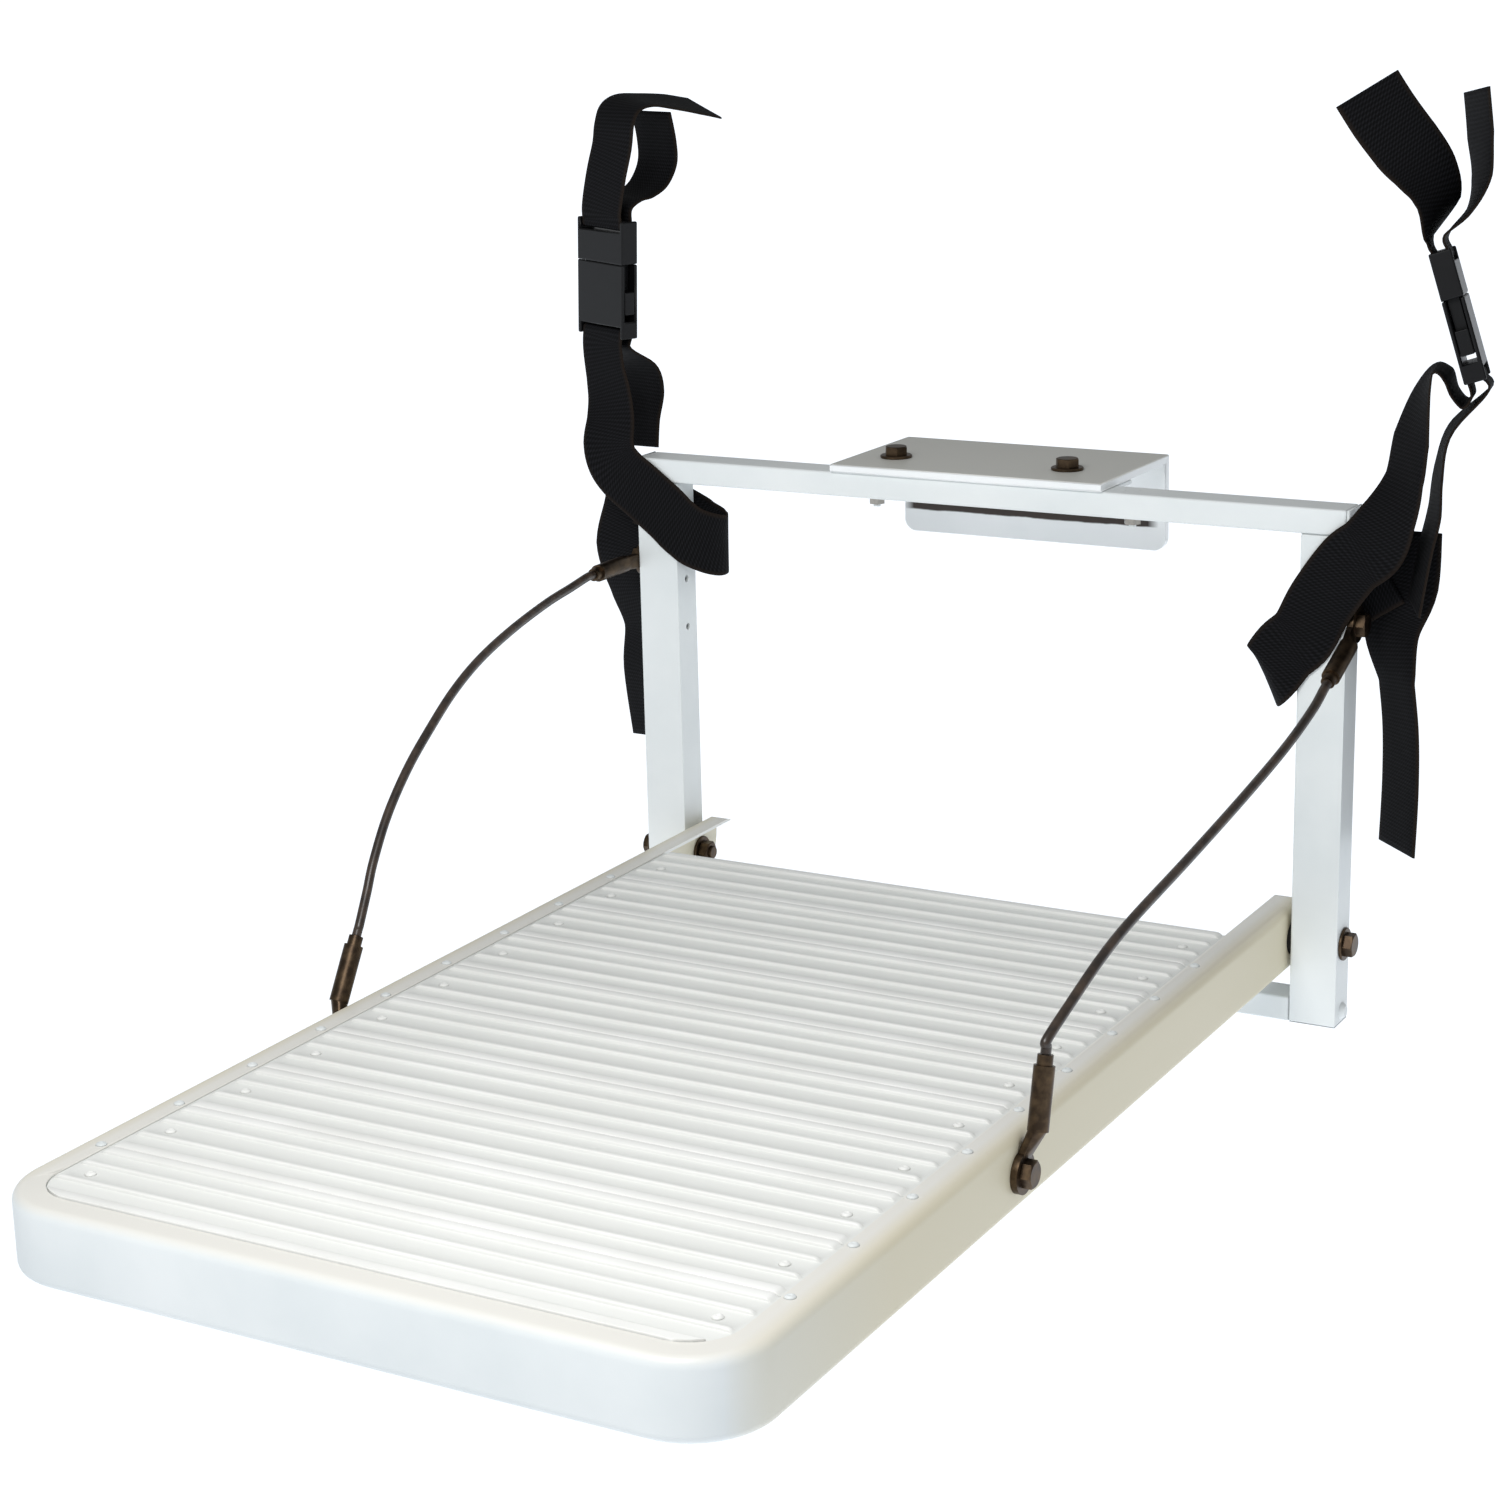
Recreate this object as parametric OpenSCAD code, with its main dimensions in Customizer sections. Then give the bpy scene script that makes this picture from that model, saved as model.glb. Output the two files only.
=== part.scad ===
// Folding hang-on stand platform: a slatted deck in a bent channel rim hinges on an
// upright tube frame, two coated cables hold it level and two web straps tie the frame up.
// Millimetres. X runs right, Y to the rear (toward the support), Z up.
// The origin is the middle of the rear face of the frame's bottom tube.

/* [Upright frame] */
// Overall width of the upright frame
frame_w = 525; // [480:1:620]
// Height from the feet of the posts to the top of the top tube
frame_h = 346; // [330:1:420]
// Width of a post, across the frame
post_w = 32; // [28:0.5:38]
// Depth of the frame tubes, front to rear
tube_d = 25.5; // [24:0.5:30]
// Height of the top and bottom tubes
tube_h = 17; // [15:0.5:22]
// Wall of the frame tubes
tube_wall = 2; // [1.5:0.1:2.6]
// Thickness of the welded end plates of the top tube
cap_t = 2; // [1.5:0.5:3]
// Diameter of the gear holes in the inner faces of the posts
gear_hole_d = 5; // [4:0.5:7]
// Distance between the two gear holes of a post
gear_hole_pitch = 35; // [25:1:45]
// Height of the lower gear hole above the feet
gear_hole_h = 223; // [190:1:240]

/* [Platform rim] */
// Width of the rim channel's flanges
rim_w = 18; // [17:0.5:26]
// Height of the rim channel
rim_h = 45; // [40:0.5:52]
// Wall of the rim channel
rim_wall = 2.5; // [2:0.1:3]
// Radius of the rim channel's rounded outer edges
rim_edge_r = 6; // [4:0.5:8]
// Outer radius of the rim's two front corners
corner_r = 46; // [40:1:80]
// Length of the rails past the fold axis
tail_l = 24; // [16:0.5:28]
// Radius of the upper corner of the rails' rear ends
tail_r = 12; // [6:0.5:14]
// Gap between a rail and its post
side_gap = 2.6; // [2:0.1:5]
// Height of the fold axis above the feet of the posts
pivot_h = 55; // [50:0.5:64]

/* [Deck] */
// Pitch of the deck slats
slat_pitch = 66; // [60:0.5:76]
// Gap between neighbouring slats
slat_gap = 0.6; // [0.4:0.1:2]
// Thickness of a slat's floor
slat_t = 1.6; // [1.4:0.1:2.6]
// Height of the ribs and edges over a slat's floor
rib_h = 2; // [1.5:0.5:5]
// Width of a slat's raised edge
slat_edge_w = 7.5; // [5:0.5:9]
// Width of a slat's two ribs
rib_w = 3; // [2:0.5:4]
// Distance from a slat's middle to its ribs
rib_off = 10.5; // [8:0.5:14]
// Depth of the stiffening legs under a slat
leg_h = 13; // [8:0.5:20]
// Distance from the deck's rear edge to the fold axis
deck_back = 76.5; // [66:0.5:96]
// Play between the deck and the rim
deck_play = 0.5; // [0.3:0.1:1]
// Diameter of the rivet shanks
rivet_d = 3.2; // [2.4:0.1:4]
// Distance of the slat rivets from the rim's inner edge
rivet_in = 17; // [12:0.5:24]
// Distance of the rim rivets from the rim's inner edge
rim_rivet_in = 4; // [3:0.5:5]
// Thickness of the strips under the rim's flange that carry the slats
strip_t = 2; // [1.6:0.1:2.4]

/* [Hook plate] */
// Width of the hook plate
hook_w = 200; // [160:1:240]
// Thickness of the hook plate
hook_t = 6; // [5:0.5:8]
// Overhang of the hook plate in front of the top tube
hook_front = 3; // [0:0.5:8]
// Gap between the top tube and the hook's rear lip
hook_gap = 86; // [70:1:110]
// Height of the hook's rear lip, with the plate
hook_drop = 67; // [50:1:90]
// Radius of the lip's lower corners
hook_r = 9; // [4:0.5:16]
// Sideways place of the hook plate on the tube
hook_x = -5; // [-30:0.5:30]
// Distance between the hook plate's two bolts
hook_bolt_pitch = 128; // [100:1:136]
// Sideways place of those bolts
hook_bolt_x = -10; // [-12:0.5:4]
// Leg of the angle welded behind the top tube, under the plate
ledge_leg = 24; // [23:0.5:30]
// Thickness of that angle
ledge_t = 3; // [2.5:0.5:4]

/* [Bolts] */
// Diameter of the pivot, cable and hook bolts
bolt_d = 9.5; // [8:0.1:10]
// Size across the flats of their heads and nuts
bolt_af = 14.3; // [13:0.1:16]
// Height of their heads
head_h = 6; // [5:0.1:8]
// Height of their nuts
nut_h = 7; // [6:0.1:8]
// Diameter of their washers
washer_d = 22; // [19:0.5:24]
// Thickness of their washers
washer_t = 2; // [1.5:0.1:2.5]
// Diameter of the pivot bushes' flanges
bush_d = 24; // [20:0.5:28]
// Wall of the pivot bushes
bush_wall = 2; // [1.5:0.1:2.5]
// Play of a running fit, on the radius
run_play = 0.05; // [0.03:0.01:0.1]
// Play of a bolt or rivet in its hole, on the radius
hole_play = 0.15; // [0.1:0.05:0.3]
// Play between faces that turn on each other
face_play = 0.25; // [0.15:0.05:0.4]

/* [Cables] */
// Diameter of the coated cables
cable_d = 6; // [5:0.5:8]
// Distance from a terminal's eye to its tip
term_l = 66; // [60:1:72]
// Outer diameter of a terminal's eye
eye_d = 24; // [20:0.5:25]
// Thickness of a terminal's eye
eye_t = 4; // [3:0.5:5]
// Diameter of a terminal's swaged sleeve
sleeve_d = 12; // [10:0.5:14]
// Length of a terminal's swaged sleeve
sleeve_l = 36; // [30:1:38]
// Distance of the cables' lower bolts from the fold axis
anchor_back = 437; // [430:1:444]
// Height of the cables' upper bolts above the feet of the posts
anchor_h = 270.5; // [262:0.5:276]

/* [Straps] */
// Width of the webbing
web_w = 44; // [36:1:48]
// Thickness of the webbing
web_t = 1.6; // [1.2:0.1:2]
// Thickness of a buckle
buckle_t = 14; // [13:0.5:16]
// Thickness of a buckle's shells and bars
buckle_wall = 2.5; // [2:0.1:3]
// Length of a buckle socket's chamber
chamber_l = 40; // [36:0.5:46]
// Length of the plug's base
plug_l = 22; // [16:0.5:26]
// Play of the webbing in a buckle's slot, to each side
slot_play = 0.5; // [0.3:0.1:1]

/* [Hidden] */
$fn = 48;
white = "#E4E9E8";
bronze = "#4A3D33";
black = "#161618";

// Frame
foot_z = -tube_h / 2;
post_out = frame_w / 2;
post_in = post_out - post_w;
tube_top = foot_z + frame_h;
tube_low = tube_top - tube_h;
mid_y = -tube_d / 2;
axis_z = foot_z + pivot_h;
gear_z = foot_z + gear_hole_h;
hole_r = bolt_d / 2 + hole_play;

// Platform
slats = 10;
rail_out = post_in - side_gap;
rail_in = rail_out - rim_w;
rim_top = axis_z + rim_h / 2;
rim_low = axis_z - rim_h / 2;
deck_rear = mid_y - deck_back;
deck_front = deck_rear - slats * slat_pitch;
rim_front = deck_front - deck_play - rim_w;
rim_rear = mid_y + tail_l;
flange_low = rim_top - rim_wall;
slat_end = rail_in - deck_play;
floor_low = flange_low;
floor_top = floor_low + slat_t;
rivet_x = rail_in - rivet_in;
rim_rivet_x = rail_in + rim_rivet_in;
corner_x = rail_out - corner_r;
corner_y = rim_front + corner_r;
bush_r = bolt_d / 2 + run_play + bush_wall;
anchor_y = mid_y - anchor_back;
anchor_z = foot_z + anchor_h;

// Hook
hook_top = tube_top + hook_t;
hook_bolt_y = ledge_t + bolt_af / 2 + 1;
stud_x = [-77, 111];
screw_sink = 1;

// Buckles, in their own frame: Z along the strap, the mouth at 0
cheek_in = web_w / 2 + slot_play;
buckle_x = cheek_in + 3;
slot_h = web_t + 2.4;
bar_h = 4;
bar_r = 3;
socket_low = -chamber_l - 4 - slot_h - bar_h;
plug_top = plug_l + slot_h + bar_h;
chamber_y = buckle_t / 2 - buckle_wall;
knuckle_r = 3.4;
knuckle_x = 17;
knuckle_z = 6;

// Places of the buckles: mouth, tilt about Y, turn about Z
left_buckle = [[-25.5 - post_out, -13, tube_top + 135.5], 2, -20];
right_buckle = [[post_out + 58.5, -13, tube_top + 134.5], -18, -76];

// Vector helpers
function unit(v) = v / norm(v);
function turn_z(v, a) = [v[0] * cos(a) - v[1] * sin(a), v[0] * sin(a) + v[1] * cos(a), v[2]];
function turn_y(v, a) = [v[0] * cos(a) + v[2] * sin(a), v[1], v[2] * cos(a) - v[0] * sin(a)];
// A point given in a buckle's frame, and a direction
function in_buckle(b, p) = b[0] + turn_y(turn_z(p, b[2]), b[1]);
function along_buckle(b, v) = turn_y(turn_z(v, b[2]), b[1]);
function curve(a, b, c, d, t) = 0.5 * (2 * b + (c - a) * t + (2 * a - 5 * b + 4 * c - d) * t * t
    + (3 * b - a - 3 * c + d) * t * t * t);
// A smooth line through the points, n steps from each to the next
function smooth(P, n) = concat([for (i = [0:len(P) - 2]) for (j = [0:n - 1])
    curve(P[max(i - 1, 0)], P[i], P[i + 1], P[min(i + 2, len(P) - 1)], j / n)], [P[len(P) - 1]]);
function blend_dirs(W, n) = concat([for (i = [0:len(W) - 2]) for (j = [0:n - 1])
    W[i] + (W[i + 1] - W[i]) * j / n], [W[len(W) - 1]]);
function heading(L, i) = unit(L[min(i + 1, len(L) - 1)] - L[max(i - 1, 0)]);
function square_to(w, t) = unit(w - (w * t) * t);
function round_ring(L, i, r, m) = let (t = heading(L, i), u = square_to([1, 0, 0], t), v = cross(t, u))
    [for (j = [0:m - 1]) L[i] + r * (cos(360 * j / m) * u + sin(360 * j / m) * v)];
function flat_ring(L, W, i) = let (t = heading(L, i), u = square_to(W[i], t), v = cross(t, u))
    [for (s = [[1, 1], [-1, 1], [-1, -1], [1, -1]])
        L[i] + s[0] * web_w / 2 * u + s[1] * web_t / 2 * v];

// A closed skin over rings of points; both halves of a ring are split along the same lines,
// so a twisted band keeps its thickness
module skin(rings) {
    m = len(rings[0]);
    n = len(rings);
    polyhedron(points = [for (r = rings) each r],
        faces = concat(
            [for (i = [0:n - 2]) for (j = [0:m - 1]) let (a = i * m + j, b = a + m, d = i * m + (j + 1) % m, c = d + m)
                each (j < m / 2 ? [[a, b, c], [a, c, d]] : [[a, b, d], [b, c, d]])],
            [for (j = [1:m - 2]) [0, j, j + 1]],
            [for (j = [1:m - 2]) [(n - 1) * m, (n - 1) * m + j + 1, (n - 1) * m + j]]));
}
module webbing(points, widths, n = 3) {
    L = smooth(points, n);
    W = blend_dirs(widths, n);
    color(black) skin([for (i = [0:len(L) - 1]) flat_ring(L, W, i)]);
}
module cable(points, n = 3) {
    L = smooth(points, n);
    color("#2A2019") skin([for (i = [0:len(L) - 1]) round_ring(L, i, cable_d / 2, 10)]);
}
module along_x(x, y, z) { translate([x, y, z]) rotate([0, 90, 0]) children(); }
module right_side() { children(); }
module left_side() { mirror([1, 0, 0]) children(); }
module hex(h) { cylinder(h = h, d = bolt_af / cos(30), $fn = 6); }
module ring(od, id, h) { difference() { cylinder(h = h, d = od); translate([0, 0, -1]) cylinder(h = h + 2, d = id); } }

// Upright frame
module post() {
    color(white) translate([post_in, -tube_d, foot_z]) difference() {
        cube([post_w, tube_d, frame_h - tube_h]);
        translate([tube_wall, tube_wall, -1])
            cube([post_w - 2 * tube_wall, tube_d - 2 * tube_wall, frame_h - tube_h + 2]);
        along_x(-1, tube_d / 2, pivot_h) cylinder(h = post_w + 2, r = hole_r);
        along_x(post_w - tube_wall - 1, tube_d / 2, anchor_h) cylinder(h = tube_wall + 2, r = hole_r);
        along_x(post_w - tube_wall - 1, tube_d / 2, tube_h / 2) cylinder(h = tube_wall + 2, r = 2.5 + hole_play);
        for (i = [0, 1]) along_x(-1, tube_d / 2, gear_hole_h + i * gear_hole_pitch)
            cylinder(h = tube_wall + 2, d = gear_hole_d);
    }
}
module post_left() { left_side() post(); }
module post_right() { right_side() post(); }
module top_tube() {
    color(white) difference() {
        translate([cap_t - post_out, -tube_d, tube_low]) cube([frame_w - 2 * cap_t, tube_d, tube_h]);
        translate([-post_out, tube_wall - tube_d, tube_low + tube_wall])
            cube([frame_w, tube_d - 2 * tube_wall, tube_h - 2 * tube_wall]);
        for (x = stud_x) translate([x, mid_y, tube_low - 1]) cylinder(h = tube_h + 2, r = 2.5 + hole_play);
        for (x = stud_x) translate([x, mid_y, tube_top - screw_sink]) cylinder(h = screw_sink + 1, r = 5);
    }
}
module bottom_tube() {
    color(white) difference() {
        translate([-post_in, -tube_d, foot_z]) cube([2 * post_in, tube_d, tube_h]);
        translate([-post_in - 1, tube_wall - tube_d, foot_z + tube_wall])
            cube([2 * post_in + 2, tube_d - 2 * tube_wall, tube_h - 2 * tube_wall]);
    }
}
module tube_end_plates() {
    color(white) for (x = [-post_out, post_out - cap_t])
        translate([x, -tube_d, tube_low]) cube([cap_t, tube_d, tube_h]);
}

// Hook plate with its rear lip, bolted to an angle behind the top tube
module hook_plate() {
    lip_y = hook_gap;
    color(white) difference() {
        union() {
            translate([hook_x - hook_w / 2, -tube_d - hook_front, tube_top])
                cube([hook_w, tube_d + hook_front + hook_gap + hook_t, hook_t]);
            translate([hook_x, lip_y, hook_top]) rotate([-90, 0, 0]) linear_extrude(hook_t) {
                translate([-hook_w / 2, 0]) square([hook_w, hook_drop - hook_r]);
                translate([hook_r - hook_w / 2, 0]) square([hook_w - 2 * hook_r, hook_drop]);
                for (s = [-1, 1]) translate([s * (hook_w / 2 - hook_r), hook_drop - hook_r]) circle(hook_r);
            }
        }
        for (s = [-1, 1]) translate([hook_bolt_x + s * hook_bolt_pitch / 2, hook_bolt_y, tube_top - 1])
            cylinder(h = hook_t + 2, r = hole_r);
    }
}
module hook_ledge() {
    color(white) difference() {
        union() {
            translate([hook_x - hook_w / 2, 0, tube_low]) cube([hook_w, ledge_t, tube_h]);
            translate([hook_x - hook_w / 2, 0, tube_top - ledge_t]) cube([hook_w, ledge_leg, ledge_t]);
        }
        for (s = [-1, 1]) translate([hook_bolt_x + s * hook_bolt_pitch / 2, hook_bolt_y, tube_top - ledge_t - 1])
            cylinder(h = ledge_t + 2, r = hole_r);
    }
}
module at_hook_bolts() {
    for (s = [-1, 1]) translate([hook_bolt_x + s * hook_bolt_pitch / 2, hook_bolt_y, hook_top]) children();
}
module hook_bolts() {
    color(bronze) at_hook_bolts() {
        translate([0, 0, washer_t]) hex(head_h);
        translate([0, 0, -hook_t - ledge_t - nut_h - 2])
            cylinder(h = hook_t + ledge_t + nut_h + washer_t + 2, d = bolt_d);
    }
}
module hook_washers() { color(bronze) at_hook_bolts() ring(washer_d, 2 * hole_r, washer_t); }
module hook_nuts() {
    color(bronze) at_hook_bolts() translate([0, 0, -hook_t - ledge_t - nut_h]) difference() {
        hex(nut_h);
        translate([0, 0, -1]) cylinder(h = nut_h + 2, r = hole_r);
    }
}
// Two flush screws through the top tube, with nuts below it
module tube_screws() {
    color(white) for (x = stud_x) translate([x, mid_y, 0]) {
        translate([0, 0, tube_top - screw_sink]) cylinder(h = screw_sink, r = 4.8);
        translate([0, 0, tube_low - 7]) cylinder(h = tube_h + 6.5 - screw_sink / 2, r = 2.5);
    }
}
module tube_screw_nuts() {
    color("#9A948C") for (x = stud_x) translate([x, mid_y, tube_low - 5]) difference() {
        cylinder(h = 5, d = 10 / cos(30), $fn = 6);
        translate([0, 0, -1]) cylinder(h = 7, r = 2.5 + hole_play);
    }
}
// Dome-head screws in the outer faces of the posts, at the bottom tube
module foot_screws() {
    color(white) for (s = [0, 1]) mirror([s, 0, 0]) along_x(0, mid_y, 0) {
        translate([0, 0, post_out]) cylinder(h = 3, d1 = 12, d2 = 7);
        translate([0, 0, post_out - tube_wall - 8]) cylinder(h = tube_wall + 9, r = 2.5);
    }
}

// Fold pivot: bolt, washers and nut stay with the post, the bush turns with the rail
module pivot_bolt() {
    color(bronze) along_x(0, mid_y, axis_z) {
        translate([0, 0, post_out + washer_t]) hex(head_h);
        translate([0, 0, rail_out - rim_wall - face_play - washer_t - nut_h - 2])
            cylinder(h = post_out + 2 * washer_t + nut_h + 2 + rim_wall + face_play - rail_out, d = bolt_d);
    }
}
module pivot_bolt_left() { left_side() pivot_bolt(); }
module pivot_bolt_right() { right_side() pivot_bolt(); }
module pivot_washers() {
    for (s = [0, 1]) mirror([s, 0, 0]) color(bronze) {
        along_x(post_out, mid_y, axis_z) ring(washer_d, 2 * hole_r, washer_t);
        along_x(rail_out - rim_wall - face_play - washer_t, mid_y, axis_z) ring(washer_d, 2 * hole_r, washer_t);
    }
}
module pivot_nuts() {
    for (s = [0, 1]) mirror([s, 0, 0]) color(bronze)
        along_x(rail_out - rim_wall - face_play - washer_t - nut_h, mid_y, axis_z) difference() {
            hex(nut_h);
            translate([0, 0, -1]) cylinder(h = nut_h + 2, r = hole_r);
        }
}
module pivot_bush() {
    color(black) along_x(0, mid_y, axis_z) difference() {
        union() {
            translate([0, 0, rail_out]) cylinder(h = side_gap - face_play, d = bush_d);
            translate([0, 0, rail_out - rim_wall]) cylinder(h = rim_wall + 1, r = bush_r);
        }
        translate([0, 0, rail_out - rim_wall - 1]) cylinder(h = rim_wall + side_gap + 2, r = bolt_d / 2 + run_play);
    }
}
module pivot_bush_left() { left_side() pivot_bush(); }
module pivot_bush_right() { right_side() pivot_bush(); }

// Platform rim: one channel bent round the front
module rim_profile() {
    bulge = rim_w - rim_edge_r;
    difference() {
        union() {
            square([bulge, rim_h]);
            translate([0, rim_edge_r]) square([rim_w, rim_h - 2 * rim_edge_r]);
            for (z = [rim_edge_r, rim_h - rim_edge_r]) translate([bulge, z]) circle(rim_edge_r);
        }
        translate([-1, rim_wall]) square([bulge + 1, rim_h - 2 * rim_wall]);
        translate([-1, rim_edge_r]) square([rim_w - rim_wall + 1, rim_h - 2 * rim_edge_r]);
        for (z = [rim_edge_r, rim_h - rim_edge_r]) translate([bulge, z]) circle(rim_edge_r - rim_wall);
    }
}
module tail_corner(r, z, up) {
    translate([rail_in - 1, rim_rear - r, z]) difference() {
        translate([0, 0, up ? 0 : -r - 1]) cube([rim_w + 2, r + 1, r + 1]);
        rotate([0, 90, 0]) cylinder(h = rim_w + 2, r = r, $fn = 96);
    }
}
module rail() {
    difference() {
        translate([rail_in, rim_rear, rim_low]) rotate([90, 0, 0]) linear_extrude(rim_rear - corner_y) rim_profile();
        tail_corner(tail_r, rim_top - tail_r, true);
        tail_corner(rim_h - tail_r, rim_top - tail_r, false);
        along_x(rail_out - rim_wall - 1, mid_y, axis_z) cylinder(h = rim_wall + 2, r = bush_r + hole_play);
        along_x(rail_out - rim_wall - 1, anchor_y, axis_z) cylinder(h = rim_wall + 2, r = hole_r);
        at_rim_rivets() translate([0, 0, -rim_wall - 1]) cylinder(h = rim_wall + 2, r = rivet_d / 2 + hole_play);
    }
    translate([corner_x, corner_y, rim_low]) rotate([0, 0, -90])
        rotate_extrude(angle = 90) translate([corner_r - rim_w, 0]) rim_profile();
}
module platform_rim() {
    color(white) {
        rail();
        mirror([1, 0, 0]) rail();
        translate([corner_x, rim_front + rim_w, rim_low]) rotate([0, 0, -90]) rotate([90, 0, 0])
            linear_extrude(2 * corner_x) rim_profile();
    }
}

// What lies outside a round front corner of that radius
module corner_cut(r, z, tall) {
    translate([corner_x, corner_y, z]) difference() {
        translate([0, -corner_r, 0]) cube([corner_r, corner_r, tall]);
        translate([0, 0, -1]) cylinder(h = tall + 2, r = r, $fn = 96);
    }
}
// Deck slats inside the rim, with raised edges, ribs and stiffening legs
module slat(k) {
    y = deck_front + (k + 0.5) * slat_pitch;
    half = (slat_pitch - slat_gap) / 2;
    leg_x = rivet_x - 10;
    tall = leg_h + slat_t + rib_h + 2;
    color("#F0F0EA") difference() {
        union() {
            translate([-slat_end, y, floor_low]) rotate([90, 0, 90]) linear_extrude(2 * slat_end) {
                translate([-half, 0]) square([2 * half, slat_t]);
                for (e = [-half, half - slat_edge_w]) translate([e, 0]) square([slat_edge_w, slat_t + rib_h]);
                for (s = [-1, 1]) translate([s * rib_off - rib_w / 2, 0]) square([rib_w, slat_t + rib_h]);
            }
            for (s = [-1, 1]) translate([-leg_x, y + s * (half - slat_edge_w) - slat_t / 2, floor_low - leg_h])
                cube([2 * leg_x, slat_t, leg_h + 1]);
        }
        for (s = [-1, 1]) translate([s * rivet_x, y, floor_low - 1]) cylinder(h = slat_t + 2, r = rivet_d / 2 + hole_play);
        if (k == 0) for (s = [0, 1]) mirror([s, 0, 0]) corner_cut(corner_r - rim_w - deck_play, floor_low - leg_h - 1, tall);
    }
}
module slat_1() { slat(0); }
module slat_2() { slat(1); }
module slat_3() { slat(2); }
module slat_4() { slat(3); }
module slat_5() { slat(4); }
module slat_6() { slat(5); }
module slat_7() { slat(6); }
module slat_8() { slat(7); }
module slat_9() { slat(8); }
module slat_10() { slat(9); }

// Flat strips under the rim's flange and the slats' ends, riveted to both
module at_slat_rivets() {
    for (k = [0:slats - 1]) translate([rivet_x, deck_front + (k + 0.5) * slat_pitch, floor_top]) children();
}
module at_rim_rivets() {
    for (k = [1:slats - 1]) translate([rim_rivet_x, deck_front + k * slat_pitch, rim_top]) children();
}
module tie_strip() {
    strip_in = rivet_x - 8;
    strip_out = rail_out - rim_edge_r - deck_play - 2;
    strip_front = deck_front + slat_pitch / 2 - 8;
    color(white) difference() {
        translate([strip_in, strip_front, floor_low - strip_t]) cube([strip_out - strip_in, deck_rear - 2 - strip_front, strip_t]);
        at_slat_rivets() translate([0, 0, -slat_t - strip_t - 1]) cylinder(h = strip_t + 2, r = rivet_d / 2 + hole_play);
        at_rim_rivets() translate([0, 0, floor_low - rim_top - strip_t - 1]) cylinder(h = strip_t + 2, r = rivet_d / 2 + hole_play);
        corner_cut(corner_r - rim_edge_r - deck_play - 1, floor_low - strip_t - 1, strip_t + 2);
    }
}
module tie_strip_left() { left_side() tie_strip(); }
module tie_strip_right() { right_side() tie_strip(); }
module rivet(grip) {
    cylinder(h = 1.2, d1 = 2 * rivet_d, d2 = 1.3 * rivet_d);
    translate([0, 0, -grip - 2]) cylinder(h = grip + 2.5, d = rivet_d);
    translate([0, 0, -grip - 2]) cylinder(h = 2, d = 1.5 * rivet_d);
}
module slat_rivets_left() { color(white) left_side() at_slat_rivets() rivet(slat_t + strip_t); }
module slat_rivets_right() { color(white) right_side() at_slat_rivets() rivet(slat_t + strip_t); }
module rim_rivets_left() { color(white) left_side() at_rim_rivets() rivet(rim_wall + strip_t); }
module rim_rivets_right() { color(white) right_side() at_rim_rivets() rivet(rim_wall + strip_t); }

// Cable anchors on the rails and on the posts
module anchor_bolts() {
    for (s = [0, 1]) mirror([s, 0, 0]) color(bronze) along_x(0, anchor_y, axis_z) {
        translate([0, 0, rail_out + eye_t]) hex(head_h);
        translate([0, 0, rail_out - rim_wall - nut_h - 2]) cylinder(h = rim_wall + nut_h + eye_t + 2, d = bolt_d);
    }
}
module anchor_nuts() {
    for (s = [0, 1]) mirror([s, 0, 0]) color(bronze) along_x(rail_out - rim_wall - nut_h, anchor_y, axis_z) difference() {
        hex(nut_h);
        translate([0, 0, -1]) cylinder(h = nut_h + 2, r = hole_r);
    }
}
module cable_top_bolts() {
    for (s = [0, 1]) mirror([s, 0, 0]) color(bronze) along_x(0, mid_y, anchor_z) {
        translate([0, 0, post_out + eye_t]) hex(head_h);
        translate([0, 0, post_out - tube_wall - nut_h - 2]) cylinder(h = tube_wall + nut_h + eye_t + 2, d = bolt_d);
    }
}
module cable_top_nuts() {
    for (s = [0, 1]) mirror([s, 0, 0]) color(bronze) along_x(post_out - tube_wall - nut_h, mid_y, anchor_z) difference() {
        hex(nut_h);
        translate([0, 0, -1]) cylinder(h = nut_h + 2, r = hole_r);
    }
}
// A swaged eye terminal along Z, with its eye on a bolt along X and its sleeve set out by jog
module terminal(jog) {
    sleeve_z = term_l - sleeve_l - 6;
    color(bronze) difference() {
        union() {
            rotate([0, 90, 0]) cylinder(h = eye_t, d = eye_d);
            hull() {
                translate([0, -5, eye_d / 2 - 4]) cube([eye_t, 10, 2]);
                translate([eye_t / 2 + jog, 0, sleeve_z]) cylinder(h = 2, d = sleeve_d - 2, $fn = 24);
            }
            translate([eye_t / 2 + jog, 0, sleeve_z]) cylinder(h = sleeve_l, d = sleeve_d);
            translate([eye_t / 2 + jog, 0, sleeve_z + sleeve_l - 1]) cylinder(h = 7, d = cable_d + 3);
        }
        translate([-1, 0, 0]) rotate([0, 90, 0]) cylinder(h = eye_t + 2, r = hole_r);
    }
}
low_jog = sleeve_d / 2 + 0.5;
top_jog = (sleeve_d - 2 - eye_t) / 2 + 0.1;
low_tilt = [31, 14];
top_tilt = [90, 111.5];
module cable_low_end_left() { left_side() translate([rail_out, anchor_y, axis_z]) rotate([-low_tilt[0], 0, 0]) terminal(low_jog); }
module cable_low_end_right() { right_side() translate([rail_out, anchor_y, axis_z]) rotate([-low_tilt[1], 0, 0]) terminal(low_jog); }
module cable_top_end_left() { left_side() translate([post_out, mid_y, anchor_z]) rotate([top_tilt[0], 0, 0]) terminal(top_jog); }
module cable_top_end_right() { right_side() translate([post_out, mid_y, anchor_z]) rotate([top_tilt[1], 0, 0]) terminal(top_jog); }

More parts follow.
